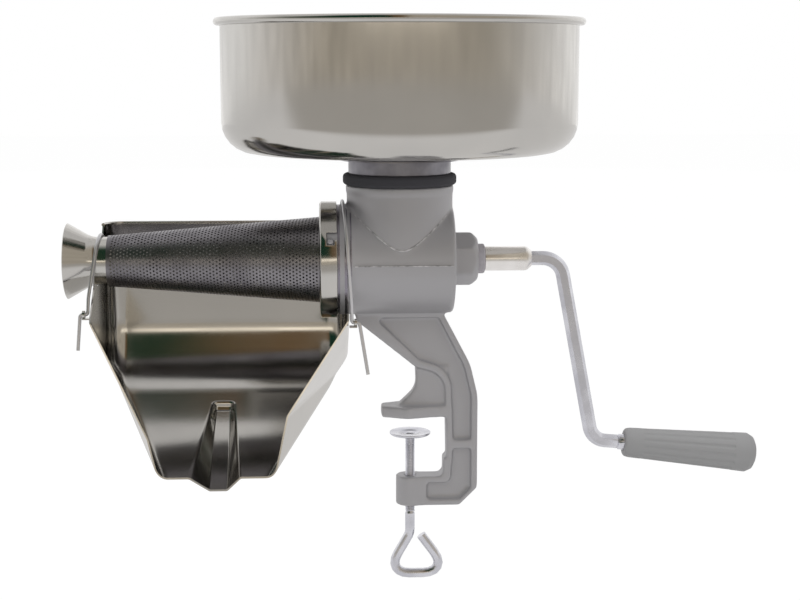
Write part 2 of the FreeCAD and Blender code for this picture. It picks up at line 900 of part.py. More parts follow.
def auger():
    """Tapered screw that pushes the fruit along the barrel into the screen."""
    end = screen_end + auger_end_gap
    along = V(1, 0, 0)
    tip_face = section_face(centre(end), along, auger_tip_radius, 10)
    root_face = section_face(centre(auger_right), along, auger_core_radius, 10)
    core = Part.makeLoft([tip_face.OuterWire, root_face.OuterWire], True)
    edge = flight_thickness / 2 * 1.3
    flight = wound(end + edge, auger_right - edge, auger_pitch, flight_corners)
    return core.fuse(flight)


def auger_shaft():
    """Shaft from the auger through the bush, with a square tang inside the crank sleeve."""
    tang_start = bush_right + 1.0
    shaft = rod(auger_right, tang_start, shaft_radius)
    tang = prism(4, tang_flats, centre(tang_start), V(1, 0, 0), tang_length)
    return shaft.fuse(tang)


def thrust_washer():
    """Steel washer that the spring presses on the seal."""
    right = bore_right - seal_length
    left = right - washer_length
    return turned(
        [
            (left, shaft_radius + seat_gap, 0),
            (left, washer_radius, 0),
            (right, washer_radius, 0),
            (right, shaft_radius + seat_gap, 0),
        ]
    )


def spring_corners(x):
    """Square section of the spring's wire, the same at every x."""
    near = spring_radius - spring_wire
    far = spring_radius + spring_wire
    return [(-spring_wire, near), (-spring_wire, far), (spring_wire, far), (spring_wire, near)]


def auger_spring():
    """Short coil spring around the shaft, behind the auger."""
    start = auger_right + spring_wire
    run = spring_length - 2 * spring_wire
    return wound(start, start + run, run / spring_turns, spring_corners)


# Crank
def grip_direction():
    """Direction of the grip's axis, outwards from the crank."""
    tilt = math.radians(grip_tilt)
    return V(math.cos(tilt), 0, -math.sin(tilt))


def grip_point(distance):
    """Point on the grip's axis at a distance from its inner end."""
    return V(grip_start_x, 0, grip_start_z) + grip_direction() * distance


def crank_sleeve():
    """Nickel-plated sleeve on the shaft's tang, holding the crank bar."""
    outer = [
        (bush_right + running_fit, 0, 0),
        (bush_right + running_fit, sleeve_radius, 0),
        (sleeve_right - sleeve_chamfer, sleeve_radius, 0),
        (sleeve_right, sleeve_radius - 2.6, 0),
        (sleeve_right, 0, 0),
    ]
    sleeve = turned(outer)
    tang_start = bush_right + 1.0
    sleeve = sleeve.cut(rod(bush_right - 1, tang_start, shaft_radius + seat_gap))
    socket = prism(4, tang_flats + 2 * seat_gap, centre(bush_right), V(1, 0, 0), tang_length + 1.2)
    bar_start = sleeve_right - crank_bar_depth()
    bar_hole = prism(6, crank_bar + 2 * seat_gap, centre(bar_start), V(1, 0, 0), crank_bar_depth() + 1, 30)
    return sleeve.cut(socket).cut(bar_hole)


def crank_bar_depth():
    """How far the crank bar runs into the sleeve."""
    return sleeve_length - tang_length - 3.0


def crank_arm():
    """Hexagonal bar bent twice, with a round spindle through the grip."""
    start = centre(sleeve_right - crank_bar_depth())
    foot_end = grip_point(-ferrule_length - seat_gap)
    foot_drop = grip_start_z + (grip_start_x - crank_foot_x) * math.tan(math.radians(grip_tilt))
    points = [
        (start, 0),
        (centre(crank_knee_x + 3.4), crank_knee_bend),
        (V(crank_foot_x - 1.6, 0, foot_drop), crank_foot_bend),
        (foot_end, 0),
    ]
    spine = path(points)
    section = prism(6, crank_bar, start, V(1, 0, 0), 1.0, 30).Faces
    face = min(section, key=lambda side: side.CenterOfMass.x)
    bar = spine.makePipeShell([face.OuterWire], True, False)
    spindle = Part.makeCylinder(spindle_radius, grip_length - 6.0, foot_end, grip_direction())
    return bar.fuse(spindle)


def grip_turned(points):
    """Solid turned about the grip's axis from points of distance, radius, corner radius."""
    outline = path([(V(x, 0, r), c) for x, r, c in points], closed=True)
    solid = Part.Face(outline).revolve(V(0, 0, 0), V(1, 0, 0), 360)
    turn = FreeCAD.Rotation(V(1, 0, 0), grip_direction())
    solid.Placement = FreeCAD.Placement(grip_point(0), turn)
    return solid


def grip_ferrule():
    """Metal collar between the crank's foot and the grip."""
    return grip_turned(
        [
            (-ferrule_length, spindle_radius + seat_gap, 0),
            (-ferrule_length, ferrule_radius - 0.7, 0),
            (0.7 - ferrule_length, ferrule_radius, 0),
            (-running_fit * 2, ferrule_radius, 0),
            (-running_fit * 2, spindle_radius + seat_gap, 0),
        ]
    )


def retainer_place():
    """Distance of the retainer's inner face from the grip's inner end."""
    return grip_length - ferrule_length - 6.0 - 4.0


def grip_retainer():
    """Spring washer on the spindle's end that keeps the grip on."""
    place = retainer_place()
    return grip_turned(
        [
            (place, spindle_radius, 0),
            (place, retainer_radius, 0),
            (place + retainer_length, retainer_radius, 0),
            (place + retainer_length, spindle_radius, 0),
        ]
    )


def crank_grip():
    """Tapered plastic grip with long flutes, free to turn on its spindle."""
    length = grip_length
    place = retainer_place()
    bore = spindle_radius + running_fit * 2
    room = retainer_radius + fit
    handle = grip_turned(
        [
            (0, bore, 0),
            (0, grip_inner_radius - 1.6, 0),
            (1.0, grip_inner_radius - 0.5, 0),
            (3.5, grip_inner_radius, 0),
            (length - 6.0, grip_outer_radius, 0),
            (length - 2.2, grip_outer_radius - 2.0, 0),
            (length - 0.5, grip_outer_radius - 5.4, 0),
            (length, 0, 0),
            (place + 6.0, 0, 0),
            (place + 6.0, room, 0),
            (place - fit, room, 0),
            (place - fit, bore, 0),
        ]
    )
    taper = math.atan2(grip_outer_radius - grip_inner_radius, length)
    for i in range(grip_flutes):
        at_start = grip_inner_radius + flute_start * math.tan(taper) + flute_radius * 0.62
        flute = Part.makeCylinder(
            flute_radius, flute_length, V(flute_start, 0, at_start),
            V(math.cos(taper), 0, math.sin(taper)),
        )
        flute.rotate(V(0, 0, 0), V(1, 0, 0), 360.0 * (i + 0.5) / grip_flutes)
        turn = FreeCAD.Rotation(V(1, 0, 0), grip_direction())
        flute.Placement = FreeCAD.Placement(grip_point(0), turn).multiply(flute.Placement)
        handle = handle.cut(flute)
    return handle


# Clamp screw and pad
def clamp_pad():
    """Round pad that the screw lifts against the underside of the table."""
    bottom = pad_top - pad_thickness
    floor = pad_top - pad_recess_depth
    return turned(
        [
            (rivet_radius + seat_gap, bottom, 0),
            (pad_radius - 0.6, bottom, 0),
            (pad_radius, bottom + 0.6, 0),
            (pad_radius, pad_top, 0),
            (pad_recess_radius, pad_top, 0),
            (pad_recess_radius - 1.6, floor, 0),
            (rivet_radius + seat_gap, floor, 0),
        ],
        0.0,
    )


def clamp_screw():
    """Screw with a riveted tip through the pad and a wire eye to turn it by."""
    pad_bottom = pad_top - pad_thickness
    floor = pad_top - pad_recess_depth
    eye = swept(
        [
            (V(0, 0, eye_start), 0),
            (V(0, 0, eye_top), 9.0),
            (V(eye_left, 0, eye_bottom), eye_bend),
            (V(eye_right, 0, eye_bottom), eye_bend),
            (V(7.0, 0, eye_top - 1.5), 0),
        ],
        screw_radius,
        8,
    )
    screw = upright(0, 0, eye_start, pad_bottom, screw_radius).fuse(eye)
    rivet = turned(
        [
            (0, pad_bottom - 1, 0),
            (rivet_radius, pad_bottom - 1, 0),
            (rivet_radius, floor + running_fit, 0),
            (rivet_head_radius, floor + running_fit, 0),
            (rivet_head_radius - 0.8, floor + rivet_head_height, 0),
            (0, floor + rivet_head_height, 0),
        ],
        0.0,
    )
    return screw.fuse(rivet)


def build():
    """All sub-parts by name."""
    left = (chute_left, -1, left_pivot_y, left_pivot_z)
    right = (chute_right, 1, right_pivot_y, right_pivot_z)
    left_claw = screen_end - left_hook_inset
    right_claw = collar_right + right_hook_inset
    return {
        "body_casting": body_casting(),
        "shaft_bush": shaft_bush(),
        "shaft_seal": shaft_seal(),
        "hopper_gasket": hopper_gasket(),
        "hopper_bowl": hopper_bowl(),
        "hopper_neck": hopper_neck(),
        "screen_gasket": screen_gasket(),
        "screen_collar": screen_collar(),
        "cone_screen": cone_screen(),
        "waste_outlet": waste_outlet(),
        "juice_chute": juice_chute(),
        "chute_ear_left": ear(*left),
        "chute_ear_right": ear(*right),
        "chute_hook_left": hook(*left, left_tail, left_tail_lean, left_claw, outlet_radius),
        "chute_hook_right": hook(*right, right_tail, right_tail_lean, right_claw, flange_radius),
        "auger": auger(),
        "auger_shaft": auger_shaft(),
        "thrust_washer": thrust_washer(),
        "auger_spring": auger_spring(),
        "crank_sleeve": crank_sleeve(),
        "crank_arm": crank_arm(),
        "grip_ferrule": grip_ferrule(),
        "grip_retainer": grip_retainer(),
        "crank_grip": crank_grip(),
        "clamp_pad": clamp_pad(),
        "clamp_screw": clamp_screw(),
    }


os.makedirs("parts", exist_ok=True)
for name, shape in build().items():
    shape.exportStep("parts/" + name + ".step")
    box = shape.BoundBox
    print(name, len(shape.Solids), round(shape.Volume), shape.isValid(),
          [round(v, 1) for v in (box.XMin, box.XMax, box.YMin, box.YMax, box.ZMin, box.ZMax)])
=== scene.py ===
"""Looks of a hand-cranked tomato strainer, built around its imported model.

The scene is in metres. Sizes in the classes are in millimetres, as in the part's source.
"""
import logging
import math
from collections.abc import Callable
from dataclasses import dataclass
from enum import Enum

import bmesh
import bpy
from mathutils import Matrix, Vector

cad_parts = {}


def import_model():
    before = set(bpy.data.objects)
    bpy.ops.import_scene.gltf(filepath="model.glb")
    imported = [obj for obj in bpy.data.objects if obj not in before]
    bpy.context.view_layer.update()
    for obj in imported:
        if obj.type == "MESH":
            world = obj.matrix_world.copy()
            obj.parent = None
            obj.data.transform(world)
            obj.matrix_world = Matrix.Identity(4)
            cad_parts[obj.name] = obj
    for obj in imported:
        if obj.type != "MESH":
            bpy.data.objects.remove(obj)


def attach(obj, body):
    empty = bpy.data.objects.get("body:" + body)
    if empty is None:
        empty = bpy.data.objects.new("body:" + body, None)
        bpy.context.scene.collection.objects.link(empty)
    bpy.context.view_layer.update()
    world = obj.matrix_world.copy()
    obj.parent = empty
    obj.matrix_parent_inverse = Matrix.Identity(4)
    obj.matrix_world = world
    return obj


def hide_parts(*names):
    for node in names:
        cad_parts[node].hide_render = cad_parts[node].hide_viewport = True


LOG = logging.getLogger("strainer")
MM = 0.001
WELD = 2e-6
COPY_WELD = 1e-6
Point = tuple[float, float, float]
Colour = tuple[float, float, float]
Pair = tuple[float, float]
Tree = bpy.types.ShaderNodeTree
Socket = bpy.types.NodeSocket


class Axis(Enum):
    """Line that a turned piece is spun about."""

    CRANK = "crank"
    NECK = "neck"
    SCREW = "screw"
    GRIP = "grip"


@dataclass(frozen=True)
class Layout:
    """Lines of the object that several sub-assemblies share."""

    crank_height: float = 98.0
    neck_x: float = -6.5
    grip_x: float = 134.5
    grip_z: float = -19.0
    grip_tilt: float = math.radians(5.6)

    def origin(self, axis: Axis) -> Vector:
        """Point on an axis, in metres, that lengths along it are counted from."""
        places = {
            Axis.CRANK: (0.0, 0.0, self.crank_height),
            Axis.NECK: (self.neck_x, 0.0, 0.0),
            Axis.SCREW: (0.0, 0.0, 0.0),
            Axis.GRIP: (self.grip_x, 0.0, self.grip_z),
        }
        return Vector(places[axis]) * MM

    def direction(self, axis: Axis) -> Vector:
        """Unit vector along an axis."""
        if axis is Axis.CRANK:
            return Vector((1, 0, 0))
        if axis is Axis.GRIP:
            return Vector((math.cos(self.grip_tilt), 0, -math.sin(self.grip_tilt)))
        return Vector((0, 0, 1))

    def place(self, axis: Axis, along: float, radius: float) -> Vector:
        """Point in the XZ plane at a distance along an axis and a radius from it."""
        direction = self.direction(axis)
        upright = axis in (Axis.NECK, Axis.SCREW)
        out = Vector((1, 0, 0)) if upright else Vector((-direction.z, 0, direction.x))
        return self.origin(axis) + (direction * along + out * radius) * MM


LAYOUT = Layout()


# Modelling helpers
def deselect_all() -> None:
    """Leave every object unselected, in object mode."""
    if bpy.context.object and bpy.context.object.mode != "OBJECT":
        bpy.ops.object.mode_set(mode="OBJECT")
    bpy.ops.object.select_all(action="DESELECT")


def take(obj: bpy.types.Object) -> None:
    """Make one object the selected and active one."""
    deselect_all()
    obj.select_set(True)
    bpy.context.view_layer.objects.active = obj


def settle(obj: bpy.types.Object) -> None:
    """Put an object's place into its mesh, so that it sits at the origin."""
    take(obj)
    bpy.ops.object.transform_apply(location=True, rotation=True, scale=True)


def settle_mesh(obj: bpy.types.Object, weld: float = 0.0) -> None:
    """Turn the active object's faces outwards and settle it.

    Args:
        obj: The active mesh object, in object or edit mode.
        weld: Points closer than this, in metres, are joined first.
    """
    bpy.ops.object.mode_set(mode="EDIT")
    bpy.ops.mesh.select_all(action="SELECT")
    if weld:
        bpy.ops.mesh.remove_doubles(threshold=weld)
    bpy.ops.mesh.normals_make_consistent(inside=False)
    bpy.ops.object.mode_set(mode="OBJECT")
    settle(obj)


def apply_modifier(obj: bpy.types.Object, kind: str, **values: object) -> None:
    """Add a modifier with its values and apply it.

    Args:
        obj: The mesh object.
        kind: Blender's name for the modifier type.
        values: Settings of the modifier.
    """
    take(obj)
    modifier = obj.modifiers.new(kind.lower(), kind)
    for key, value in values.items():
        setattr(modifier, key, value)
    bpy.ops.object.modifier_apply(modifier=modifier.name)


def smooth(obj: bpy.types.Object, degrees: float = 35.0) -> None:
    """Smooth shading, with sharp edges left above an angle."""
    take(obj)
    bpy.ops.object.shade_smooth_by_angle(angle=math.radians(degrees))


def chain(name: str, points: list[Vector], rounds: list[float]) -> bpy.types.Object:
    """A line of edges through points, its corners rounded.

    Args:
        name: Name of the new object.
        points: Places of the corners, in metres.
        rounds: Length cut from both edges at each corner, in metres.

    Returns:
        A mesh object of edges only, left in edit mode.
    """
    deselect_all()
    bpy.ops.mesh.primitive_plane_add(size=MM, location=(0, 0, 0))
    obj = bpy.context.object
    obj.name = name
    bpy.ops.object.mode_set(mode="EDIT")
    bpy.ops.mesh.merge(type="CENTER")
    bpy.ops.transform.translate(value=points[0])
    for before, after in zip(points, points[1:]):
        bpy.ops.mesh.extrude_vertices_move(TRANSFORM_OT_translate={"value": after - before})
    for point, size in zip(points, rounds):
        if size <= 0:
            continue
        bpy.ops.mesh.select_all(action="DESELECT")
        mesh = bmesh.from_edit_mesh(obj.data)
        mesh.select_mode = {"VERT"}
        min(mesh.verts, key=lambda v: (v.co - point).length).select = True
        mesh.select_flush_mode()
        bmesh.update_edit_mesh(obj.data)
        bpy.ops.mesh.bevel(offset=size, segments=6, affect="VERTICES")
    bpy.ops.mesh.select_all(action="SELECT")
    return obj


def pick_faces(obj: bpy.types.Object, wanted: Callable[[bmesh.types.BMFace], bool]) -> None:
    """Select only the faces that pass a test, in edit mode."""
    bpy.ops.mesh.select_all(action="DESELECT")
    mesh = bmesh.from_edit_mesh(obj.data)
    for face in mesh.faces:
        face.select = wanted(face)
    bmesh.update_edit_mesh(obj.data)


def turned(
    name: str,
    axis: Axis,
    profile: list[Point],
    closed: bool = True,
    steps: int = 96,
) -> bpy.types.Object:
    """A piece spun about an axis from its profile.

    Args:
        name: Name of the new object.
        axis: The line it is spun about.
        profile: Distance along the axis, radius and corner rounding, in millimetres.
        closed: Whether the profile's last point joins its first.
        steps: Number of steps round the axis.

    Returns:
        The mesh object, with its place in its mesh.
    """
    points = [LAYOUT.place(axis, along, radius) for along, radius, _ in profile]
    rounds = [size * MM for _, _, size in profile]
    obj = chain(name, points, rounds)
    if closed:
        bpy.ops.mesh.select_all(action="DESELECT")
        mesh = bmesh.from_edit_mesh(obj.data)
        for vertex in mesh.verts:
            vertex.select = len(vertex.link_edges) == 1
        bmesh.update_edit_mesh(obj.data)
        bpy.ops.mesh.edge_face_add()
        bpy.ops.mesh.select_all(action="SELECT")
    bpy.ops.mesh.spin(
        steps=steps, angle=2 * math.pi, dupli=False,
        center=LAYOUT.origin(axis), axis=LAYOUT.direction(axis),
    )
    settle_mesh(obj, WELD)
    smooth(obj)
    return obj


def sheet(obj: bpy.types.Object, thickness: float, offset: float) -> None:
    """Give an open surface its thickness in millimetres. offset -1 grows it inwards."""
    apply_modifier(
        obj, "SOLIDIFY", thickness=thickness * MM, offset=offset, use_even_offset=True
    )
    smooth(obj)


def wire(
    name: str, points: list[Vector], rounds: list[float], radius: float, sides: int = 4
) -> bpy.types.Object:
    """A round wire along points in metres. Radius is in millimetres."""
    obj = chain(name, points, rounds)
    take(obj)
    bpy.ops.object.convert(target="CURVE")
    obj = bpy.context.object
    obj.data.dimensions = "3D"
    obj.data.bevel_depth = radius * MM
    obj.data.bevel_resolution = sides
    obj.data.use_fill_caps = True
    bpy.ops.object.convert(target="MESH")
    obj = bpy.context.object
    settle_mesh(obj)
    smooth(obj, 50)
    return obj


def bent_wire(name: str, line: list[tuple[Point, float]], radius: float) -> bpy.types.Object:
    """A round wire from its corners and their bend radii, all in millimetres.

    Args:
        name: Name of the new object.
        line: Each corner's place and the radius of the bend there.
        radius: Radius of the wire.

    Returns:
        The mesh object, with its place in its mesh.
    """
    points = [Vector(place) * MM for place, _ in line]
    cuts = [0.0] * len(line)
    for i in range(1, len(line) - 1):
        before = (points[i - 1] - points[i]).normalized()
        after = (points[i + 1] - points[i]).normalized()
        cuts[i] = line[i][1] * MM / math.tan(before.angle(after) / 2)
    return wire(name, points, cuts, radius, 5)


def cut_away(obj: bpy.types.Object, cutter: bpy.types.Object) -> None:
    """Take a cutter's space out of a piece, and the cutter out of the scene."""
    apply_modifier(obj, "BOOLEAN", object=cutter, operation="DIFFERENCE", solver="EXACT")
    bpy.data.objects.remove(cutter)


def block(name: str, outline: list[Pair], left: float, right: float) -> bpy.types.Object:
    """A straight block along X from its outline of Y and Z, all in millimetres.

    Args:
        name: Name of the new object.
        outline: Y and Z of each corner.
        left: Smallest X.
        right: Largest X.

    Returns:
        The mesh object.
    """
    points = [Vector((left, y, z)) * MM for y, z in outline]
    obj = chain(name, points, [])
    bpy.ops.mesh.edge_face_add()
    bpy.ops.mesh.extrude_region_move(
        TRANSFORM_OT_translate={"value": Vector((right - left, 0, 0)) * MM}
    )
    settle_mesh(obj)
    return obj


def rod(name: str, left: float, right: float, radius: float) -> bpy.types.Object:
    """A rod along the crank's axis between two X, in millimetres."""
    deselect_all()
    bpy.ops.mesh.primitive_cylinder_add(
        vertices=128, radius=radius * MM, depth=(right - left) * MM,
        location=Vector(((left + right) / 2, 0, LAYOUT.crank_height)) * MM,
        rotation=(0, math.pi / 2, 0),
    )
    obj = bpy.context.object
    obj.name = name
    settle(obj)
    return obj


def fillet(first: float, second: float, cosine: float, radius: float) -> float:
    """Distance from two walls with a rounded corner, negative inside it.

    Args:
        first: Distance from the first wall.
        second: Distance from the second wall.
        cosine: Cosine of the angle between the walls' outward normals.
        radius: Radius of the corner.

    Returns:
        The distance from the pair.
    """
    u, v = first + radius, second + radius
    if u < cosine * v or v < cosine * u:
        return max(first, second)
    return math.sqrt((u * u + v * v - 2 * cosine * u * v) / (1 - cosine * cosine)) - radius


@dataclass(frozen=True)
class Wall:
    """Flat wall, with its normal pointing out."""

    normal: Vector
    level: float

    @classmethod
    def through(cls, corners: tuple[Point, Point, Point], inside: Vector) -> "Wall":
        """Wall through three corners, with a point on its inner side."""
        first, second, third = (Vector(corner) for corner in corners)
        normal = (second - first).cross(third - first).normalized()
        if normal.dot(inside - first) > 0:
            normal = -normal
        return cls(normal, normal.dot(first))

    def distance(self, point: Vector) -> float:
        """Signed distance of a point, positive outside."""
        return self.normal.dot(point) - self.level


def joined(pieces: list[bpy.types.Object], name: str) -> bpy.types.Object:
    """Join several mesh objects into one."""
    take(pieces[0])
    for piece in pieces:
        piece.select_set(True)
    bpy.ops.object.join()
    obj = bpy.context.object
    obj.name = name
    return obj


def merged_copy(node: str, name: str, angle: float = 35.0) -> bpy.types.Object:
    """A copy of a CAD node's mesh with its loose triangles joined, shaded smooth.

    Args:
        node: Name of the CAD node.
        name: Name of the copy.
        angle: Edges sharper than this many degrees stay sharp.

    Returns:
        The copy, which belongs to no body yet.
    """
    source = bpy.data.objects[node]
    copy = bpy.data.objects.new(name, source.data.copy())
    bpy.context.scene.collection.objects.link(copy)
    take(copy)
    bpy.ops.object.mode_set(mode="EDIT")
    bpy.ops.mesh.select_all(action="SELECT")
    bpy.ops.mesh.remove_doubles(threshold=COPY_WELD)
    bpy.ops.object.mode_set(mode="OBJECT")
    copy.data.materials.clear()
    smooth(copy, angle)
    return copy


def soften_edges(obj: bpy.types.Object, width: float, limit: float, angle: float) -> None:
    """Bevel a piece's sharp edges and shade it smooth.

    Args:
        obj: The mesh object.
        width: Width of the bevel in millimetres.
        limit: Edges sharper than this many degrees are bevelled.
        angle: Edges sharper than this many degrees stay sharp in the shading.
    """
    apply_modifier(
        obj, "BEVEL", width=width * MM, segments=2, limit_method="ANGLE",
        angle_limit=math.radians(limit),
    )
    smooth(obj, angle)


def pressed_copy(node: str, name: str, angle: float, edge: float) -> bpy.types.Object:
    """A copy of a sheet-metal CAD node with rounded cut edges and true flats.

    Args:
        node: Name of the CAD node.
        name: Name of the copy.
        angle: Edges sharper than this many degrees stay sharp.
        edge: Width of the bevel on the sharp edges, in millimetres.

    Returns:
        The copy, which belongs to no body yet.
    """
    copy = merged_copy(node, name, angle)
    soften_edges(copy, edge, 55, angle)
    apply_modifier(copy, "WEIGHTED_NORMAL", keep_sharp=True, weight=80)
    return copy


def cast_copy(node: str, name: str, cell: float, passes: int) -> bpy.types.Object:
    """A copy of a CAD node with its edges softened all over, as in a casting.

    Args:
        node: Name of the CAD node.
        name: Name of the copy.
        cell: Size of the new mesh's cells in millimetres.
        passes: How often the surface is smoothed.

    Returns:
        The copy, which belongs to no body yet.
    """
    copy = merged_copy(node, name)
    apply_modifier(copy, "REMESH", mode="VOXEL", voxel_size=cell * MM, use_smooth_shade=True)
    apply_modifier(copy, "SMOOTH", factor=0.5, iterations=passes)
    return copy


# Shader effects
def feed(tree: Tree, sockets: bpy.types.NodeInputs, values: dict[str | int, object]) -> None:
    """Link inputs to other nodes' sockets, or give them plain values.

    Args:
        tree: The node tree.
        sockets: A node's inputs.
        values: A socket or a plain value for each input, by its name or place.
    """
    for key, value in values.items():
        if isinstance(value, Socket):
            tree.links.new(value, sockets[key])
        else:
            sockets[key].default_value = value


def add_node(
    tree: Tree, kind: str, inputs: dict[str | int, object], **settings: object
) -> bpy.types.Node:
    """Add a shader node with its settings and inputs.

    Args:
        tree: The node tree.
        kind: Blender's name for the node type, after "ShaderNode".
        inputs: A socket or a plain value for each input, by its name or place.
        settings: The node's own settings, which are set first.

    Returns:
        The node.
    """
    node = tree.nodes.new(f"ShaderNode{kind}")
    for key, value in settings.items():
        setattr(node, key, value)
    feed(tree, node.inputs, inputs)
    return node


def use_group(tree: Tree, name: str, inputs: dict[str | int, object]) -> bpy.types.Node:
    """Add a node group that was made before."""
    return add_node(tree, "Group", inputs, node_tree=bpy.data.node_groups[name])


def noise(
    tree: Tree, vector: Socket, scale: Socket | float, detail: float, roughness: float
) -> Socket:
    """Strength of a noise texture at a vector."""
    node = add_node(
        tree, "TexNoise",
        {"Vector": vector, "Scale": scale, "Detail": detail, "Roughness": roughness},
    )
    return node.outputs["Fac"]


def spread(
    tree: Tree, value: Socket, low: Socket | float, high: Socket | float,
    to: tuple[Socket | float, Socket | float] = (0.0, 1.0), kind: str = "LINEAR",
) -> Socket:
    """Draw a value that runs between two limits out to two others.

    Args:
        tree: The node tree.
        value: The value.
        low: Its lower limit.
        high: Its upper limit.
        to: The limits of the result.
        kind: Blender's name for the kind of step.

    Returns:
        The result, which stays between its limits.
    """
    node = add_node(
        tree, "MapRange",
        {"Value": value, "From Min": low, "From Max": high, "To Min": to[0], "To Max": to[1]},
        interpolation_type=kind,
    )
    return node.outputs["Result"]


def ease(tree: Tree, value: Socket, low: Socket | float, high: Socket | float) -> Socket:
    """Soft step from 0 to 1 between two limits."""
    return spread(tree, value, low, high, kind="SMOOTHSTEP")


def compute(tree: Tree, operation: str, *values: Socket | float) -> Socket:
    """Result of a Math node on sockets or numbers."""
    node = add_node(tree, "Math", dict(enumerate(values)), operation=operation)
    return node.outputs["Value"]


def tint(tree: Tree, share: Socket, first: Socket | Colour, second: Socket | Colour) -> Socket:
    """Colour between two others, each a socket or a plain colour."""
    first, second = (
        colour if isinstance(colour, Socket) else (*colour, 1) for colour in (first, second)
    )
    node = add_node(tree, "Mix", {"Factor": share, "A": first, "B": second}, data_type="RGBA")
    return node.outputs["Result"]


def places(tree: Tree) -> tuple[Socket, ...]:
    """Object coordinates: the vector, then X, Y and Z."""
    where = tree.nodes.new("ShaderNodeTexCoord").outputs["Object"]
    split = add_node(tree, "SeparateXYZ", {"Vector": where})
    return where, *split.outputs


def new_material(name: str) -> tuple[bpy.types.Material, Tree, bpy.types.Node]:
    """A new material, with its node tree and its Principled node."""
    material = bpy.data.materials.new(name)
    material.use_nodes = True
    return material, material.node_tree, material.node_tree.nodes["Principled BSDF"]


def new_group(
    name: str, inputs: dict[str, object], outputs: tuple[str, ...]
) -> tuple[Tree, bpy.types.NodeOutputs, bpy.types.NodeInputs]:
    """An empty shader node group with its sockets.

    Args:
        name: Name of the group.
        inputs: Default of each input: a number, a vector or a colour with its alpha.
        outputs: Name of each output. "Color" is a colour, the others are numbers.

    Returns:
        The group, the sockets that bring its inputs in and those that take its outputs.
    """
    group = bpy.data.node_groups.new(name, "ShaderNodeTree")
    kinds = {1: "NodeSocketFloat", 3: "NodeSocketVector", 4: "NodeSocketColor"}
    for label, default in inputs.items():
        kind = kinds[len(default) if isinstance(default, tuple) else 1]
        socket = group.interface.new_socket(name=label, in_out="INPUT", socket_type=kind)
        socket.default_value = default
    for label in outputs:
        kind = kinds[4 if label == "Color" else 1]
        group.interface.new_socket(name=label, in_out="OUTPUT", socket_type=kind)
    source = group.nodes.new("NodeGroupInput")
    sink = group.nodes.new("NodeGroupOutput")
    return group, source.outputs, sink.inputs


def mottle_group() -> None:
    """Soft patches of colour and roughness, with a fine grain for bumps."""
    group, source, sink = new_group(
        "mottle",
        {
            "Base": (0.5, 0.5, 0.5, 1), "Patch": (0.4, 0.4, 0.4, 1), "Patch Scale": 30.0,
            "Grain Scale": 1500.0, "Rough Low": 0.3, "Rough High": 0.5,
        },
        ("Color", "Roughness", "Height"),
    )
    where = places(group)[0]
    patches = noise(group, where, source["Patch Scale"], 3.0, 0.55)
    mask = spread(group, patches, 0.35, 0.65)
    limits = (source["Rough Low"], source["Rough High"])
    feed(group, sink, {
        "Color": tint(group, mask, source["Base"], source["Patch"]),
        "Roughness": spread(group, mask, 0.0, 1.0, limits),
        "Height": noise(group, where, source["Grain Scale"], 2.0, 0.6),
    })


def lines_group() -> None:
    """Fine lines along one direction, as rolling and polishing leave them."""
    group, source, sink = new_group(
        "polish_lines", {"Stretch": (1.0, 1.0, 1.0), "Scale": 400.0}, ("Mask",)
    )
    drawn = add_node(
        group, "VectorMath", {0: places(group)[0], 1: source["Stretch"]}, operation="MULTIPLY"
    )
    feed(group, sink, {"Mask": noise(group, drawn.outputs["Vector"], source["Scale"], 2.0, 0.5)})


def zone_group() -> None:
    """Mask that rises from 0 to 1 between two heights, broken up by noise."""
    group, source, sink = new_group(
        "height_zone", {"Low": 0.0, "High": 0.1, "Ragged": 0.004}, ("Mask",)
    )
    where, _, _, height = places(group)
    edge = noise(group, where, 160.0, 3.0, 0.6)
    ragged = compute(group, "MULTIPLY_ADD", edge, source["Ragged"], height)
    feed(group, sink, {"Mask": ease(group, ragged, source["Low"], source["High"])})


@dataclass(frozen=True)
class Finish:
    """A surface finish: its two tones, gloss and grain."""

    name: str
    slot: str
    base: Colour
    patch: Colour
    metallic: float = 0.0
    rough_low: float = 0.3
    rough_high: float = 0.5
    patch_scale: float = 30.0
    grain_scale: float = 1500.0
    bump: float = 0.1
    bump_distance: float = 0.0001
    stretch: Point | None = None
    line_bump: float = 0.0
    specular: float = 0.5

    def add_bump(self, tree: Tree, height: Socket, strength: float) -> bpy.types.Node:
        """A Bump node for one of the finish's heights."""
        return add_node(
            tree, "Bump",
            {"Height": height, "Strength": strength, "Distance": self.bump_distance},
        )

    def shader(self) -> tuple[Tree, bpy.types.Node, bpy.types.Node]:
        """Build the material.

        Returns:
            The material's tree, its Principled node and its mottle group node.
        """
        _, tree, surface = new_material(self.name)
        mottle = use_group(tree, "mottle", {
            "Base": (*self.base, 1),
            "Patch": (*self.patch, 1),
            "Patch Scale": self.patch_scale,
            "Grain Scale": self.grain_scale,
            "Rough Low": self.rough_low,
            "Rough High": self.rough_high,
        })
        grain = self.add_bump(tree, mottle.outputs["Height"], self.bump)
        feed(tree, surface.inputs, {
            "Metallic": self.metallic,
            "Specular IOR Level": self.specular,
            "Base Color": mottle.outputs["Color"],
            "Roughness": mottle.outputs["Roughness"],
            "Normal": grain.outputs["Normal"],
        })
        if self.stretch:
            lines = use_group(tree, "polish_lines", {"Stretch": self.stretch})
            scratch = self.add_bump(tree, lines.outputs["Mask"], self.line_bump)
            feed(tree, grain.inputs, {"Normal": scratch.outputs["Normal"]})
        return tree, surface, mottle


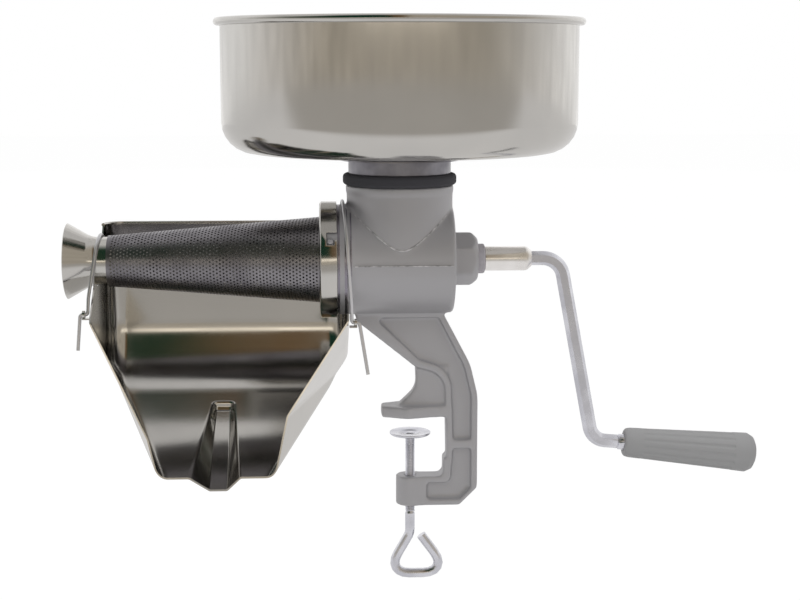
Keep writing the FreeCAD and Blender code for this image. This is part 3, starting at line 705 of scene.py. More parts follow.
@dataclass(frozen=True)
class CastFinish(Finish):
    """Cast alloy: crinkled above the parting line, smoother and lighter below it."""

    lower: Colour = (0.335, 0.33, 0.36)
    arm: Colour = (0.165, 0.16, 0.19)
    worn: Colour = (0.74, 0.73, 0.75)
    line: Pair = (0.090, 0.102)
    foot: Pair = (0.056, 0.066)
    edge: Pair = (0.501, 0.515)
    chip: Pair = (0.36, 0.62)
    chip_scale: float = 420.0
    wear: float = 0.75

    def zone(self, tree: Tree, low: float, high: float) -> Socket:
        """Mask that rises from 0 to 1 between two heights."""
        return use_group(tree, "height_zone", {"Low": low, "High": high}).outputs["Mask"]

    def shader(self) -> tuple[Tree, bpy.types.Node, bpy.types.Node]:
        """Build the material with its three zones and its worn edges."""
        tree, surface, mottle = super().shader()
        lower = tint(tree, self.zone(tree, *self.foot), self.arm, self.lower)
        tone = tint(tree, self.zone(tree, *self.line), lower, mottle.outputs["Color"])
        shape = tree.nodes.new("ShaderNodeNewGeometry")
        edges = ease(tree, shape.outputs["Pointiness"], *self.edge)
        chips = ease(tree, noise(tree, places(tree)[0], self.chip_scale, 3.0, 0.7), *self.chip)
        share = compute(tree, "MULTIPLY", compute(tree, "MULTIPLY", edges, chips), self.wear)
        feed(tree, surface.inputs, {"Base Color": tint(tree, share, tone, self.worn)})
        return tree, surface, mottle


CAST = CastFinish(
    "cast_alloy", "cast_alloy", (0.18, 0.176, 0.20), (0.235, 0.23, 0.255),
    metallic=0.35, rough_low=0.34, rough_high=0.48, patch_scale=90, grain_scale=420,
    bump=0.45, bump_distance=0.0005, specular=0.3,
)
WORN = Finish(
    "worn_cast", "cast_alloy", (0.80, 0.79, 0.81), (0.40, 0.395, 0.405),
    metallic=0.5, rough_low=0.3, rough_high=0.45, patch_scale=260, bump=0.3,
)
# Same stainless as the bowl, with a darker base colour as painted reflection of the grey casting
# round the neck.
NECK_STEEL_PAINTED_REFLECTION = Finish(
    "neck_steel_painted_reflection", "stainless", (0.30, 0.295, 0.32), (0.20, 0.195, 0.22),
    metallic=1.0, rough_low=0.26, rough_high=0.40, patch_scale=60, bump=0.04,
    stretch=(0.1, 0.1, 3.0), line_bump=0.4,
)
MACHINED = Finish(
    "machined_flange", "cast_alloy", (0.36, 0.34, 0.39), (0.27, 0.255, 0.30),
    metallic=0.9, rough_low=0.2, rough_high=0.32, stretch=(14.0, 0.3, 0.3), line_bump=0.3,
)
STEEL = Finish(
    "polished_steel", "stainless", (0.60, 0.585, 0.56), (0.55, 0.54, 0.52),
    metallic=1.0, rough_low=0.10, rough_high=0.17, patch_scale=14, grain_scale=900,
    bump=0.02, stretch=(1.0, 1.0, 0.02), line_bump=0.06,
)
# Punched stainless of the cone: its darker base colour is partly duller, burred metal and partly
# painted shade from the hopper above it.
SCREEN_STEEL_DULL_AND_SHADED = Finish(
    "screen_steel_dull_and_shaded", "perforated_stainless", (0.30, 0.29, 0.31), (0.22, 0.21, 0.23),
    metallic=1.0, rough_low=0.30, rough_high=0.42, patch_scale=40, bump=0.03,
)
WIRE_STEEL = Finish(
    "wire_steel", "wire_steel", (0.62, 0.62, 0.63), (0.50, 0.50, 0.52),
    metallic=1.0, rough_low=0.14, rough_high=0.28, patch_scale=60, bump=0.04,
)
ZINC = Finish(
    "zinc_plate", "zinc", (0.74, 0.745, 0.80), (0.62, 0.625, 0.68),
    metallic=1.0, rough_low=0.2, rough_high=0.34, patch_scale=80, bump=0.06,
)
NICKEL = Finish(
    "nickel_plate", "nickel", (0.92, 0.90, 0.89), (0.84, 0.82, 0.80),
    metallic=1.0, rough_low=0.18, rough_high=0.3, patch_scale=60, bump=0.04,
)
RUBBER = Finish(
    "black_rubber", "black_rubber", (0.004, 0.004, 0.005), (0.008, 0.0075, 0.008),
    rough_low=0.5, rough_high=0.7, patch_scale=50, bump=0.15, specular=0.03,
)
BUSH = Finish(
    "bush_plastic", "bush_plastic", (0.90, 0.85, 0.91), (0.84, 0.79, 0.85),
    rough_low=0.35, rough_high=0.5, bump=0.06,
)
AUGER_PLASTIC = Finish(
    "auger_plastic", "auger_plastic", (0.62, 0.60, 0.54), (0.55, 0.53, 0.48),
    rough_low=0.3, rough_high=0.42, bump=0.08,
)
GRIP_PLASTIC = Finish(
    "grip_plastic", "grip_plastic", (0.14, 0.136, 0.148), (0.125, 0.121, 0.132),
    rough_low=0.42, rough_high=0.55, patch_scale=60, grain_scale=2200, bump=0.2,
)
FINISHES = (
    CAST, WORN, MACHINED, STEEL, NECK_STEEL_PAINTED_REFLECTION, SCREEN_STEEL_DULL_AND_SHADED, WIRE_STEEL, ZINC, NICKEL, RUBBER,
    BUSH, AUGER_PLASTIC, GRIP_PLASTIC,
)


def dress(obj: bpy.types.Object, finish: Finish) -> None:
    """Give a piece one finish."""
    obj.data.materials.clear()
    obj.data.materials.append(bpy.data.materials[finish.name])


def hand_over(obj: bpy.types.Object, finish: Finish, body: str, *nodes: str) -> None:
    """Dress a new piece, let it ride on its body and stand for its CAD nodes.

    Args:
        obj: The new piece.
        finish: Its finish.
        body: The CAD body it moves with.
        nodes: The CAD nodes that it stands for.
    """
    dress(obj, finish)
    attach(obj, body)
    if nodes:
        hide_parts(*nodes)
    LOG.info("%s rides on %s, %d faces", obj.name, body, len(obj.data.polygons))


@dataclass
class Hopper:
    """Deep round bowl with a rolled rim, and the neck under it."""

    radius: float = 107.2
    sheet: float = 0.8
    corner: float = 17.0
    slope: float = math.radians(3.5)
    rim_z: float = 241.1
    bead: float = 2.3
    bead_round: float = 0.98
    neck: float = 30.3
    bottom_z: float = 160.2
    shoulder_z: float = 150.8
    spigot: float = 28.7
    spigot_depth: float = 20.0
    flange: float = 37.0
    play: float = 0.1

    def under(self, radius: float) -> float:
        """Height of the bowl's underside at a radius."""
        return self.bottom_z + (radius - self.neck + self.sheet) * math.tan(self.slope)

    def build_bowl(self) -> bpy.types.Object:
        """Spin the bowl, then its rolled rim, and join them."""
        inner = self.neck - self.sheet
        bowl = turned(
            "bowl", Axis.NECK,
            [
                (self.under(inner), inner, 0),
                (self.under(self.radius), self.radius, self.corner),
                (self.rim_z, self.radius, 0),
            ],
            closed=False, steps=160,
        )
        sheet(bowl, self.sheet, -1.0)
        middle = self.radius + self.bead - self.sheet
        rim = turned(
            "rim", Axis.NECK,
            [
                (self.rim_z + up * self.bead, middle + out * self.bead, self.bead * self.bead_round)
                for up, out in ((-1, -1), (-1, 1), (1, 1), (1, -1))
            ],
            steps=160,
        )
        return joined([bowl, rim], "hopper_bowl_skin")

    def build_neck(self) -> bpy.types.Object:
        """Spin the flange, tube and spigot from one sheet."""
        top = self.under(self.neck) - self.sheet - self.play
        neck = turned(
            "hopper_neck_skin", Axis.NECK,
            [
                (self.shoulder_z - self.spigot_depth, self.spigot, 0),
                (self.shoulder_z, self.spigot, 0.5),
                (self.shoulder_z, self.neck, 0.5),
                (top, self.neck, 1.0),
                (self.under(self.flange) - self.sheet - self.play, self.flange, 0),
            ],
            closed=False,
        )
        sheet(neck, self.sheet, -1.0)
        return neck

    def build(self) -> None:
        """Make and dress the hopper's pieces."""
        hand_over(self.build_bowl(), STEEL, "hopper", "hopper_bowl")
        # The neck's darker steel is painted reflection of the grey casting.
        hand_over(self.build_neck(), NECK_STEEL_PAINTED_REFLECTION, "hopper", "hopper_neck")


@dataclass
class CastBody:
    """Barrel, neck, boss, flange and clamp arm, with the rubber ring and the bush."""

    cell: float = 0.95
    passes: int = 6
    flange_left: float = -45.0
    flange_right: float = -36.3
    flange_radius: float = 33.65
    flange_inset: float = 2.0
    ridge: float = 0.7
    grooves: tuple[Point, ...] = (
        (0.0, 0, 0.25), (1.6, 0, 0.2), (2.0, 1, 0.1), (3.6, 1, 0.1), (4.4, 0, 0.3),
        (6.2, 0, 0.3), (6.8, 1, 0.1), (7.4, 1, 0.1), (7.7, 0, 0.2),
    )
    bore_radius: float = 28.5
    ring_inner: float = 29.0
    ring_outer: float = 34.5
    ring_low: float = 144.0
    ring_high: float = 150.8
    bush_left: float = 41.2
    bush_right: float = 45.5
    bush_radius: float = 9.1
    bush_bore: float = 5.05
    barrel_radius: float = 33.4
    neck_radius: float = 32.2
    seam_reach: float = 27.5
    seam_steps: int = 40
    seam_wire: float = 0.55
    parting: Pair = (-34.5, 24.0)
    parting_share: float = 0.8
    parting_lift: float = 0.2

    def build_flange(self) -> bpy.types.Object:
        """Machined rim of the flange, over the cast one.

        Each groove corner is its distance from the left face, 0 on the rim or 1 on a groove's
        floor, and its rounding.
        """
        inner = self.bore_radius + self.flange_inset
        return turned(
            "flange_turning", Axis.CRANK,
            [
                (self.flange_left, inner, 0),
                *(
                    (self.flange_left + along, self.flange_radius - floor * self.ridge, size)
                    for along, floor, size in self.grooves
                ),
                (self.flange_right, self.flange_radius, 0.5),
                (self.flange_right, inner, 0),
            ],
        )

    def build_ring(self) -> bpy.types.Object:
        """Black rubber ring on the neck."""
        return turned(
            "neck_ring", Axis.NECK,
            [
                (self.ring_low, self.ring_inner, 0),
                (self.ring_low, self.ring_outer, 2.2),
                (self.ring_high, self.ring_outer, 2.2),
                (self.ring_high, self.ring_inner, 0),
            ],
        )

    def build_bush(self) -> bpy.types.Object:
        """Flanged end of the shaft bush."""
        return turned(
            "bush_flange", Axis.CRANK,
            [
                (self.bush_left, self.bush_bore, 0),
                (self.bush_left, self.bush_radius, 0.4),
                (self.bush_right, self.bush_radius, 1.0),
                (self.bush_right, self.bush_bore, 0),
            ],
            steps=64,
        )

    def build_seam(self) -> bpy.types.Object:
        """Worn beads where the neck runs into the barrel and along the barrel's parting."""
        points = []
        for i in range(self.seam_steps + 1):
            across = self.seam_reach * (2 * i / self.seam_steps - 1)
            y = -math.sqrt(self.neck_radius ** 2 - across ** 2)
            rise = math.sqrt(self.barrel_radius ** 2 - y ** 2)
            points.append(Vector((LAYOUT.neck_x + across, y, LAYOUT.crank_height + rise)) * MM)
        seam = wire("neck_seam", points, [], self.seam_wire, 2)
        front = -self.barrel_radius - self.parting_lift
        line = [((x, front, LAYOUT.crank_height), 0.0) for x in self.parting]
        bead = bent_wire("parting_bead", line, self.seam_wire * self.parting_share)
        return joined([seam, bead], "neck_seam")

    def build(self) -> None:
        """Make and dress the casting and what is fixed to it."""
        casting = cast_copy("body_casting", "casting", self.cell, self.passes)
        hand_over(casting, CAST, "frame", "body_casting")
        hand_over(self.build_seam(), WORN, "frame")
        hand_over(self.build_flange(), MACHINED, "frame")
        hand_over(self.build_ring(), RUBBER, "frame", "hopper_gasket")
        hand_over(self.build_bush(), BUSH, "frame", "shaft_bush")
        for node in ("shaft_seal", "screen_gasket"):
            dress(bpy.data.objects[node], RUBBER)


@dataclass
class Screen:
    """Perforated cone between the locking collar and the waste outlet."""

    big_x: float = -54.2
    small_x: float = -183.2
    big_radius: float = 26.2
    small_radius: float = 15.4
    wall: float = 0.6
    pitch: float = 2.3
    hole: float = 0.66
    margin: float = 0.6
    first_row: float = 0.94
    weld: float = 2e-5
    band: float = 1.6
    band_lift: float = 0.08
    outlet: tuple[Point, ...] = ((-207.7, 23.0, 0), (-193.2, 14.7, 3.0), (-181.7, 14.7, 0))
    outlet_wall: float = 1.0

    def half_angle(self) -> float:
        """Angle between the cone's wall and its axis."""
        return math.atan2(self.big_radius - self.small_radius, self.big_x - self.small_x)

    def build_flat(self) -> bpy.types.Object:
        """Flat perforated sheet, cut to the sector that rolls up into the cone."""
        half = self.half_angle()
        near = self.small_radius / math.sin(half)
        far = self.big_radius / math.sin(half)
        start = near * self.first_row
        corner = self.pitch / math.sqrt(3)
        wide = far * math.pi * math.sin(half) + 2 * self.pitch
        row = self.pitch * math.sqrt(3) / 2
        deselect_all()
        bpy.ops.mesh.primitive_circle_add(
            vertices=6, radius=corner * MM, fill_type="NGON", location=(-wide * MM, start * MM, 0)
        )
        cell = bpy.context.object
        bpy.ops.object.mode_set(mode="EDIT")
        bpy.ops.mesh.inset(thickness=(corner - self.hole) * math.cos(math.pi / 6) * MM)
        bpy.ops.mesh.delete(type="ONLY_FACE")
        bpy.ops.object.mode_set(mode="OBJECT")
        settle(cell)
        across = math.ceil(2 * wide / self.pitch)
        pairs = math.ceil((far - start) / row / 2)
        for count, step in (
            (2, (self.pitch / 2, row, 0)),
            (across, (self.pitch, 0, 0)),
            (pairs, (0, 2 * row, 0)),
        ):
            apply_modifier(
                cell, "ARRAY", count=count, use_relative_offset=False,
                use_constant_offset=True, constant_offset_displace=Vector(step) * MM,
            )
        bpy.ops.object.mode_set(mode="EDIT")
        bpy.ops.mesh.select_all(action="SELECT")
        bpy.ops.mesh.remove_doubles(threshold=self.weld)
        edge = math.pi * math.sin(half)
        for side in (-1, 1):
            bpy.ops.mesh.select_all(action="SELECT")
            bpy.ops.mesh.bisect(
                plane_co=(0, 0, 0), clear_outer=True,
                plane_no=(side * math.cos(edge), -math.sin(edge), 0),
            )
        low, high = (near + self.margin) * MM, (far - self.margin) * MM
        pick_faces(cell, lambda face: not low < face.calc_center_median().length < high)
        bpy.ops.mesh.delete(type="FACE")
        bpy.ops.object.mode_set(mode="OBJECT")
        return cell

    def roll_up(self, flat: bpy.types.Object) -> None:
        """Roll the flat sector round the crank's axis, its seam at the back."""
        half = self.half_angle()
        apex = self.small_x * MM - self.small_radius * MM / math.tan(half)
        for vertex in flat.data.vertices:
            reach = math.hypot(vertex.co.x, vertex.co.y)
            turn = math.atan2(vertex.co.x, vertex.co.y) / math.sin(half)
            radius = reach * math.sin(half)
            vertex.co = Vector((
                apex + reach * math.cos(half),
                -radius * math.cos(turn),
                LAYOUT.crank_height * MM + radius * math.sin(turn),
            ))

    def build_sheet(self) -> bpy.types.Object:
        """Perforated cone with its wall."""
        cone = self.build_flat()
        cone.name = "perforated_cone"
        self.roll_up(cone)
        take(cone)
        settle_mesh(cone, self.weld)
        sheet(cone, self.wall, -1.0)
        return cone

    def radius_at(self, x: float) -> float:
        """Outer radius of the cone at an x."""
        share = (x - self.small_x) / (self.big_x - self.small_x)
        return self.small_radius + share * (self.big_radius - self.small_radius)

    def build_margin(self, name: str, x0: float, x1: float) -> bpy.types.Object:
        """Plain band at one end of the cone."""
        band = turned(
            name, Axis.CRANK,
            [(x, self.radius_at(x) + self.band_lift, 0) for x in (x0, x1)],
            closed=False,
        )
        sheet(band, self.wall + self.band_lift, -1.0)
        return band

    def build_outlet(self) -> bpy.types.Object:
        """Neck and flare at the small end."""
        outlet = turned("outlet_flare", Axis.CRANK, list(self.outlet), closed=False)
        sheet(outlet, self.outlet_wall, -1.0)
        return outlet

    def build(self) -> None:
        """Make and dress the screen's pieces."""
        reach = self.margin + self.band
        cone = joined(
            [
                self.build_sheet(),
                self.build_margin("small_end", self.small_x, self.small_x + reach),
                self.build_margin("big_end", self.big_x - reach, self.big_x),
            ],
            "perforated_cone",
        )
        # The cone's finish is darkened partly by duller punched metal and partly by painted shade
        # under the hopper.
        hand_over(cone, SCREEN_STEEL_DULL_AND_SHADED, "frame", "cone_screen")
        hand_over(self.build_outlet(), STEEL, "frame", "waste_outlet")
        collar = pressed_copy("screen_collar", "locking_collar", 40, 0.3)
        hand_over(collar, STEEL, "frame", "screen_collar")


@dataclass
class Scoop:
    """Pressed sheet of the chute, in millimetres.

    Its face is where the distance from rounded walls is zero. A box's grid is drawn out to
    that face from the middle, and the sheet is then cut open at the front and top.
    """

    left: float = -191.0
    right: float = -38.0
    back: float = 45.0
    top: float = 116.5
    back_fold_z: float = 24.0
    lip: Pair = (-52.0, -25.0)
    front: Pair = (-37.0, 66.0)
    middle: Point = (-114.5, -5.0, 50.0)
    box_low: Point = (-191.0, -95.0, -31.0)
    box_high: Point = (-38.0, 45.0, 135.0)
    cuts: int = 100
    bend: float = 50.0
    corner: float = 12.0
    fold: float = 8.0
    crease: float = 6.0
    left_knee: Point = (-157.7, -48.2, -2.0)
    right_knee: Point = (-74.6, -46.0, 10.8)
    left_lip: float = -151.8
    right_lip: float = -82.3
    thickness: float = 0.9
    outlet_hole: float = 15.0
    flange_hole: float = 34.1
    hem: float = 1.1
    spout_x: float = -116.0
    spout_start: float = 11.0
    spout_depth: Pair = (4.0, 6.0)
    spout_floor: float = 5.2
    spout_half: float = 6.75
    spout_left: float = 17.2
    spout_right: float = 13.2
    spout_round: float = 2.4
    # Where the spout stops widening, and the slope and sharpness of its upper end
    spout_past: float = 1.2
    spout_rise: float = 2.0
    spout_end: float = 0.9
    spout_cosine: float = 0.8
    # Search for the face along a ray
    reach: float = 3.0
    tries: int = 12
    near: float = 1e-4
    pull: float = 0.6
    # How far past the lip and the top the sheet is kept, and how far round the spout it is fine
    trim: Pair = (9.0, 4.0)
    fine: Pair = (4.0, 6.0)
    # Outline of the block that opens the front and top
    past: float = 10.0
    cutter_front: float = 60.0
    cutter_top: float = 180.0
    cutter_low: float = 30.0
    lip_slant: float = 3.4
    front_corner: float = 4.0
    step: Pair = (-15.0, 84.0)
    step_back: float = 19.0
    hem_front: float = 33.0

    def __post_init__(self) -> None:
        """Work out the flat walls."""
        self.centre = Vector(self.middle)
        self.floor = Wall.through(
            (
                (self.left, self.back, self.back_fold_z),
                (self.right, self.back, self.back_fold_z),
                (self.left, *self.lip),
            ),
            self.centre,
        )
        self.run = (self.lip[0] - self.spout_start) / self.along().y
        self.facets = []
        for side, knee, lip_x in (
            (self.left, self.left_knee, self.left_lip),
            (self.right, self.right_knee, self.right_lip),
        ):
            root = (side, self.back, self.back_fold_z)
            upper = Wall.through(((side, *self.front), knee, root), self.centre)
            lower = Wall.through((knee, (lip_x, *self.lip), root), self.centre)
            self.facets.append((upper, lower))

    def along(self) -> Vector:
        """Unit vector down the floor towards the lip."""
        return Vector((0.0, -abs(self.floor.normal.z), -abs(self.floor.normal.y)))

    def spout(self, point: Vector, under: float) -> float:
        """Distance from the spout's channel, for a point so far under the floor."""
        start = self.centre.copy()
        start.y = self.spout_start
        start.z = self.lip[1] + self.along().z / self.along().y * (self.spout_start - self.lip[0])
        down = (point - start).dot(self.along())
        share = min(max(down / self.run, 0.0), self.spout_past)
        depth = self.spout_depth[0] + share * (self.spout_depth[1] - self.spout_depth[0])
        under = max(under, -depth)
        across = point.x - self.spout_x
        wide = self.spout_left if across < 0 else self.spout_right
        flare = self.spout_half + share * (wide - self.spout_half) - self.spout_floor
        slant = math.hypot(depth, flare)
        side = (abs(across) - self.spout_floor - flare * (depth - under) / depth) * depth / slant
        trough = fillet(side, under - depth, flare / slant, self.spout_round)
        end = self.spout_end * (self.spout_rise * under / depth - down)
        return fillet(trough, end, 0.0, self.spout_round)

    def distance(self, point: Vector) -> float:
        """Distance from the scoop's face, negative inside."""
        under = self.floor.distance(point)
        core = fillet(under, point.y - self.back, self.floor.normal.y, self.bend)
        side = max(self.left - point.x, point.x - self.right)
        shell = fillet(core, side, 0.0, self.corner)
        beside = min(max((side - core) / self.corner + 0.5, 0.0), 1.0)
        for upper, lower in self.facets:
            facet = -fillet(
                -upper.distance(point), -lower.distance(point),
                upper.normal.dot(lower.normal), self.crease,
            )
            steep = upper.normal.dot(self.floor.normal)
            cosine = steep + beside * (abs(upper.normal.x) - steep)
            shell = fillet(shell, facet, cosine, self.fold)
        spout = self.spout(point, under)
        return -fillet(-shell, -spout, self.spout_cosine, self.spout_round)

    def seat(self, place: Vector) -> Vector:
        """Draw a point in metres out to the scoop's face, along its line from the middle."""
        ray = place / MM - self.centre
        low, high = 0.0, self.reach
        inside, outside = self.distance(self.centre), self.distance(self.centre + ray * high)
        share = 1.0
        for _ in range(self.tries):
            share = (low * outside - high * inside) / (outside - inside)
            value = self.distance(self.centre + ray * share)
            if abs(value) < self.near:
                break
            if value > 0:
                high, outside = share, value
                inside *= self.pull
            else:
                low, inside = share, value
                outside *= self.pull
        return (self.centre + ray * share) * MM

    def build_face(self) -> bpy.types.Object:
        """Outer face, past the cuts at the front and top."""
        low, high = Vector(self.box_low) * MM, Vector(self.box_high) * MM
        deselect_all()
        bpy.ops.mesh.primitive_cube_add(size=1.0, location=(low + high) / 2)
        obj = bpy.context.object
        obj.name = "chute_pressing"
        obj.scale = high - low
        settle(obj)
        bpy.ops.object.mode_set(mode="EDIT")
        pick_faces(obj, lambda face: face.normal.y < -0.5 or face.normal.z > 0.5)
        bpy.ops.mesh.delete(type="FACE")
        bpy.ops.mesh.select_all(action="SELECT")
        bpy.ops.mesh.subdivide(number_cuts=self.cuts)
        bpy.ops.object.mode_set(mode="OBJECT")
        for vertex in obj.data.vertices:
            vertex.co = self.seat(vertex.co)
        return obj

    def cut_off(self, face: bmesh.types.BMFace) -> bool:
        """Whether a face lies past the cuts."""
        middle = face.calc_center_median() / MM
        return middle.y < self.lip[0] - self.trim[0] or middle.z > self.top + self.trim[1]

    def by_spout(self, face: bmesh.types.BMFace) -> bool:
        """Whether a face lies on or round the spout's channel."""
        middle = face.calc_center_median() / MM
        across = abs(middle.x - self.spout_x) < self.spout_left + self.fine[0]
        along = middle.y < self.spout_start + self.fine[1]
        return across and along and middle.z < self.back_fold_z

    def refine(self, obj: bpy.types.Object) -> None:
        """Drop what lies past the cuts, and split the faces round the spout once."""
        bpy.ops.object.mode_set(mode="EDIT")
        pick_faces(obj, self.cut_off)
        bpy.ops.mesh.delete(type="FACE")
        pick_faces(obj, self.by_spout)
        bpy.ops.mesh.subdivide(number_cuts=1)
        bpy.ops.object.mode_set(mode="OBJECT")
        for vertex in obj.data.vertices:
            if vertex.select:
                vertex.co = self.seat(vertex.co)

    def build(self) -> bpy.types.Object:
        """Press the sheet, cut it open and roll its hem."""
        scoop = self.build_face()
        self.refine(scoop)
        apply_modifier(scoop, "SOLIDIFY", thickness=self.thickness * MM, offset=-1.0)
        near, far = self.left - self.past, self.right + self.past
        lip_y, lip_z = self.lip
        front_y, front_z = self.front
        cutter_y, cutter_z = lip_y - self.cutter_front, lip_z - self.cutter_low
        open_front = [
            (cutter_y, self.cutter_top), (cutter_y, cutter_z), (lip_y - self.lip_slant, cutter_z),
            (lip_y, lip_z), (front_y, front_z),
            (front_y + self.front_corner, front_z + self.front_corner),
            self.step, (self.step[0], LAYOUT.crank_height),
            (self.step_back, LAYOUT.crank_height), (self.hem_front, self.top),
            (self.back + self.past, self.top), (self.back + self.past, self.cutter_top),
        ]
        cut_away(scoop, block("open_front", open_front, near, far))
        cut_away(scoop, rod("outlet_hole", near, self.left + self.corner, self.outlet_hole))
        cut_away(scoop, rod("flange_hole", self.centre.x, far, self.flange_hole))
        half = self.thickness / 2
        turn = self.corner - half
        ends = (self.left + half, self.right - half)
        fold_y = self.back - half
        hem = [
            ((ends[0], self.hem_front, self.top), 0.0),
            *(((x, fold_y, self.top), turn) for x in ends),
            ((ends[1], self.hem_front, self.top), 0.0),
        ]
        scoop = joined([scoop, bent_wire("chute_hem", hem, self.hem)], "chute_pressing")
        smooth(scoop, 40)
        apply_modifier(scoop, "WEIGHTED_NORMAL", keep_sharp=True, weight=60)
        return scoop


@dataclass
class Chute:
    """Pressed scoop with its two ears and wire hooks."""

    wire: float = 1.05
    left_hook: tuple[tuple[Point, float], ...] = (
        ((-198.45, -32.5, 49.0), 0.0),
        ((-196.95, -30.0, 70.0), 1.6),
        ((-192.45, -30.0, 70.0), 1.6),
        ((-192.45, -25.94, 79.14), 8.0),
        ((-187.6, -8.59, 118.21), 16.05),
        ((-187.6, 8.78, 111.88), 0.0),
    )
    right_hook: tuple[tuple[Point, float], ...] = (
        ((-27.05, -33.5, 33.0), 0.0),
        ((-32.05, -31.0, 64.0), 1.6),
        ((-36.55, -31.0, 64.0), 1.6),
        ((-36.55, -32.23, 73.92), 8.0),
        ((-41.6, -41.72, 150.38), 34.95),
        ((-41.6, 15.24, 129.65), 0.0),
    )

    def build(self) -> None:
        """Make and dress the chute's pieces."""
        hand_over(Scoop().build(), STEEL, "frame", "juice_chute")
        for side, line in (("left", self.left_hook), ("right", self.right_hook)):
            ear = pressed_copy(f"chute_ear_{side}", f"ear_{side}", 40, 0.25)
            hand_over(ear, STEEL, "frame", f"chute_ear_{side}")
            hook = bent_wire(f"wire_hook_{side}", list(line), self.wire)
            hand_over(hook, WIRE_STEEL, f"hook_{side}", f"chute_hook_{side}")


@dataclass
class FeedScrew:
    """Auger with its shaft, washer and spring, mostly inside the barrel."""

    def build(self) -> None:
        """Dress the hidden pieces as the CAD has them."""
        auger = merged_copy("auger", "auger_screw", 40)
        hand_over(auger, AUGER_PLASTIC, "crank", "auger")
        for node in ("auger_shaft", "thrust_washer", "auger_spring"):
            dress(bpy.data.objects[node], WIRE_STEEL)


@dataclass
class Crank:
    """Sleeve, bent bar and the grip's metal ends."""

    sleeve_left: float = 45.55
    sleeve_right: float = 74.5
    sleeve_radius: float = 7.5
    chamfer: float = 3.0
    bar_half: float = 4.4
    sleeve_bore: float = 5.2
    sleeve_tip: float = 2.6
    socket: float = 6.0
    bar_edge: float = 0.35

    def build_sleeve(self) -> bpy.types.Object:
        """Nickel-plated sleeve."""
        return turned(
            "crank_sleeve_skin", Axis.CRANK,
            [
                (self.sleeve_left, self.sleeve_bore, 0),
                (self.sleeve_left, self.sleeve_radius, 0.5),
                (self.sleeve_right - self.chamfer, self.sleeve_radius, 1.2),
                (self.sleeve_right, self.sleeve_radius - self.sleeve_tip, 0.3),
                (self.sleeve_right, self.bar_half, 0),
                (self.sleeve_right - self.socket, self.bar_half, 0),
            ],
            steps=64,
        )

    def build(self) -> None:
        """Make and dress the crank's pieces."""
        hand_over(self.build_sleeve(), NICKEL, "crank", "crank_sleeve")
        bar = merged_copy("crank_arm", "crank_bar", 25)
        soften_edges(bar, self.bar_edge, 40, 25)
        hand_over(bar, ZINC, "crank", "crank_arm")
        ferrule = merged_copy("grip_ferrule", "ferrule", 40)
        hand_over(ferrule, ZINC, "crank", "grip_ferrule")
        dress(bpy.data.objects["grip_retainer"], WIRE_STEEL)


@dataclass
class Grip:
    """Fluted plastic grip."""

    cell: float = 0.42
    passes: int = 4

    def build(self) -> None:
        """Soften the moulded grip's edges and dress it."""
        handle = cast_copy("crank_grip", "grip_moulding", self.cell, self.passes)
        hand_over(handle, GRIP_PLASTIC, "grip", "crank_grip")


@dataclass
class Clamp:
    """Clamp screw with its rolled thread and wire eye, and the round pad."""

    radius: float = 3.0
    root: float = 2.55
    pitch: float = 1.0
    crest: Pair = (0.42, 0.58)
    thread_top: float = -12.3
    thread_end: float = -62.0
    core: float = 0.03
    shank: float = 8.5
    shank_chamfer: float = 0.6
    rivet: tuple[Point, ...] = (
        (-12.1, 2.8, 0), (-12.1, 2.1, 0), (-11.25, 2.1, 0), (-11.25, 3.0, 0),
        (-10.8, 2.2, 0.15), (-10.8, 0, 0),
    )
    eye_start: float = 8.0
    eye_neck: float = 9.0
    eye_tip: Pair = (7.0, 1.5)
    eye_top: float = -76.0
    eye_bottom: float = -102.3
    eye_left: float = -15.0
    eye_right: float = 25.0
    eye_bend: float = 8.5
    pad_edge: float = 0.2

    def build_thread(self) -> bpy.types.Object:
        """Thread spun up from one tooth."""
        points = [
            LAYOUT.place(Axis.SCREW, self.thread_end + self.pitch * share, radius)
            for share, radius in (
                (0.0, self.root), (self.crest[0], self.radius),
                (self.crest[1], self.radius), (1.0, self.root),
            )
        ]
        tooth = chain("screw_thread", points, [])
        bpy.ops.object.mode_set(mode="OBJECT")
        settle(tooth)
        turns = int((self.thread_top - self.thread_end) / self.pitch) - 1
        apply_modifier(
            tooth, "SCREW", axis="Z", angle=2 * math.pi, screw_offset=self.pitch * MM,
            iterations=turns, steps=18, render_steps=18, use_merge_vertices=True,
            merge_threshold=WELD, use_normal_calculate=True,
        )
        smooth(tooth, 30)
        return tooth

    def build_shank(self) -> bpy.types.Object:
        """Plain core inside the thread, and the tip riveted through the pad."""
        return turned(
            "screw_shank", Axis.SCREW,
            [
                (self.thread_end - self.shank, 0, 0),
                (self.thread_end - self.shank, self.radius, 0),
                (self.thread_end - self.shank_chamfer, self.radius, 0.3),
                (self.thread_end, self.root + self.core, 0),
                (self.thread_top, self.root + self.core, 0),
                *self.rivet,
            ],
            steps=48,
        )

    def build_eye(self) -> bpy.types.Object:
        """Wire eye bent from the screw's own rod."""
        tip_x, tip_drop = self.eye_tip
        line = [
            ((0.0, 0.0, self.thread_end - self.eye_start), 0.0),
            ((0.0, 0.0, self.eye_top), self.eye_neck),
            ((self.eye_left, 0.0, self.eye_bottom), self.eye_bend),
            ((self.eye_right, 0.0, self.eye_bottom), self.eye_bend),
            ((tip_x, 0.0, self.eye_top - tip_drop), 0.0),
        ]
        return bent_wire("screw_eye", line, self.radius)

    def build(self) -> None:
        """Make and dress the clamp's moving pieces."""
        pieces = [self.build_shank(), self.build_thread(), self.build_eye()]
        hand_over(joined(pieces, "clamp_screw_skin"), ZINC, "screw", "clamp_screw")
        pad = merged_copy("clamp_pad", "pad_disc", 30)
        soften_edges(pad, self.pad_edge, 30, 30)
        hand_over(pad, ZINC, "pad", "clamp_pad")


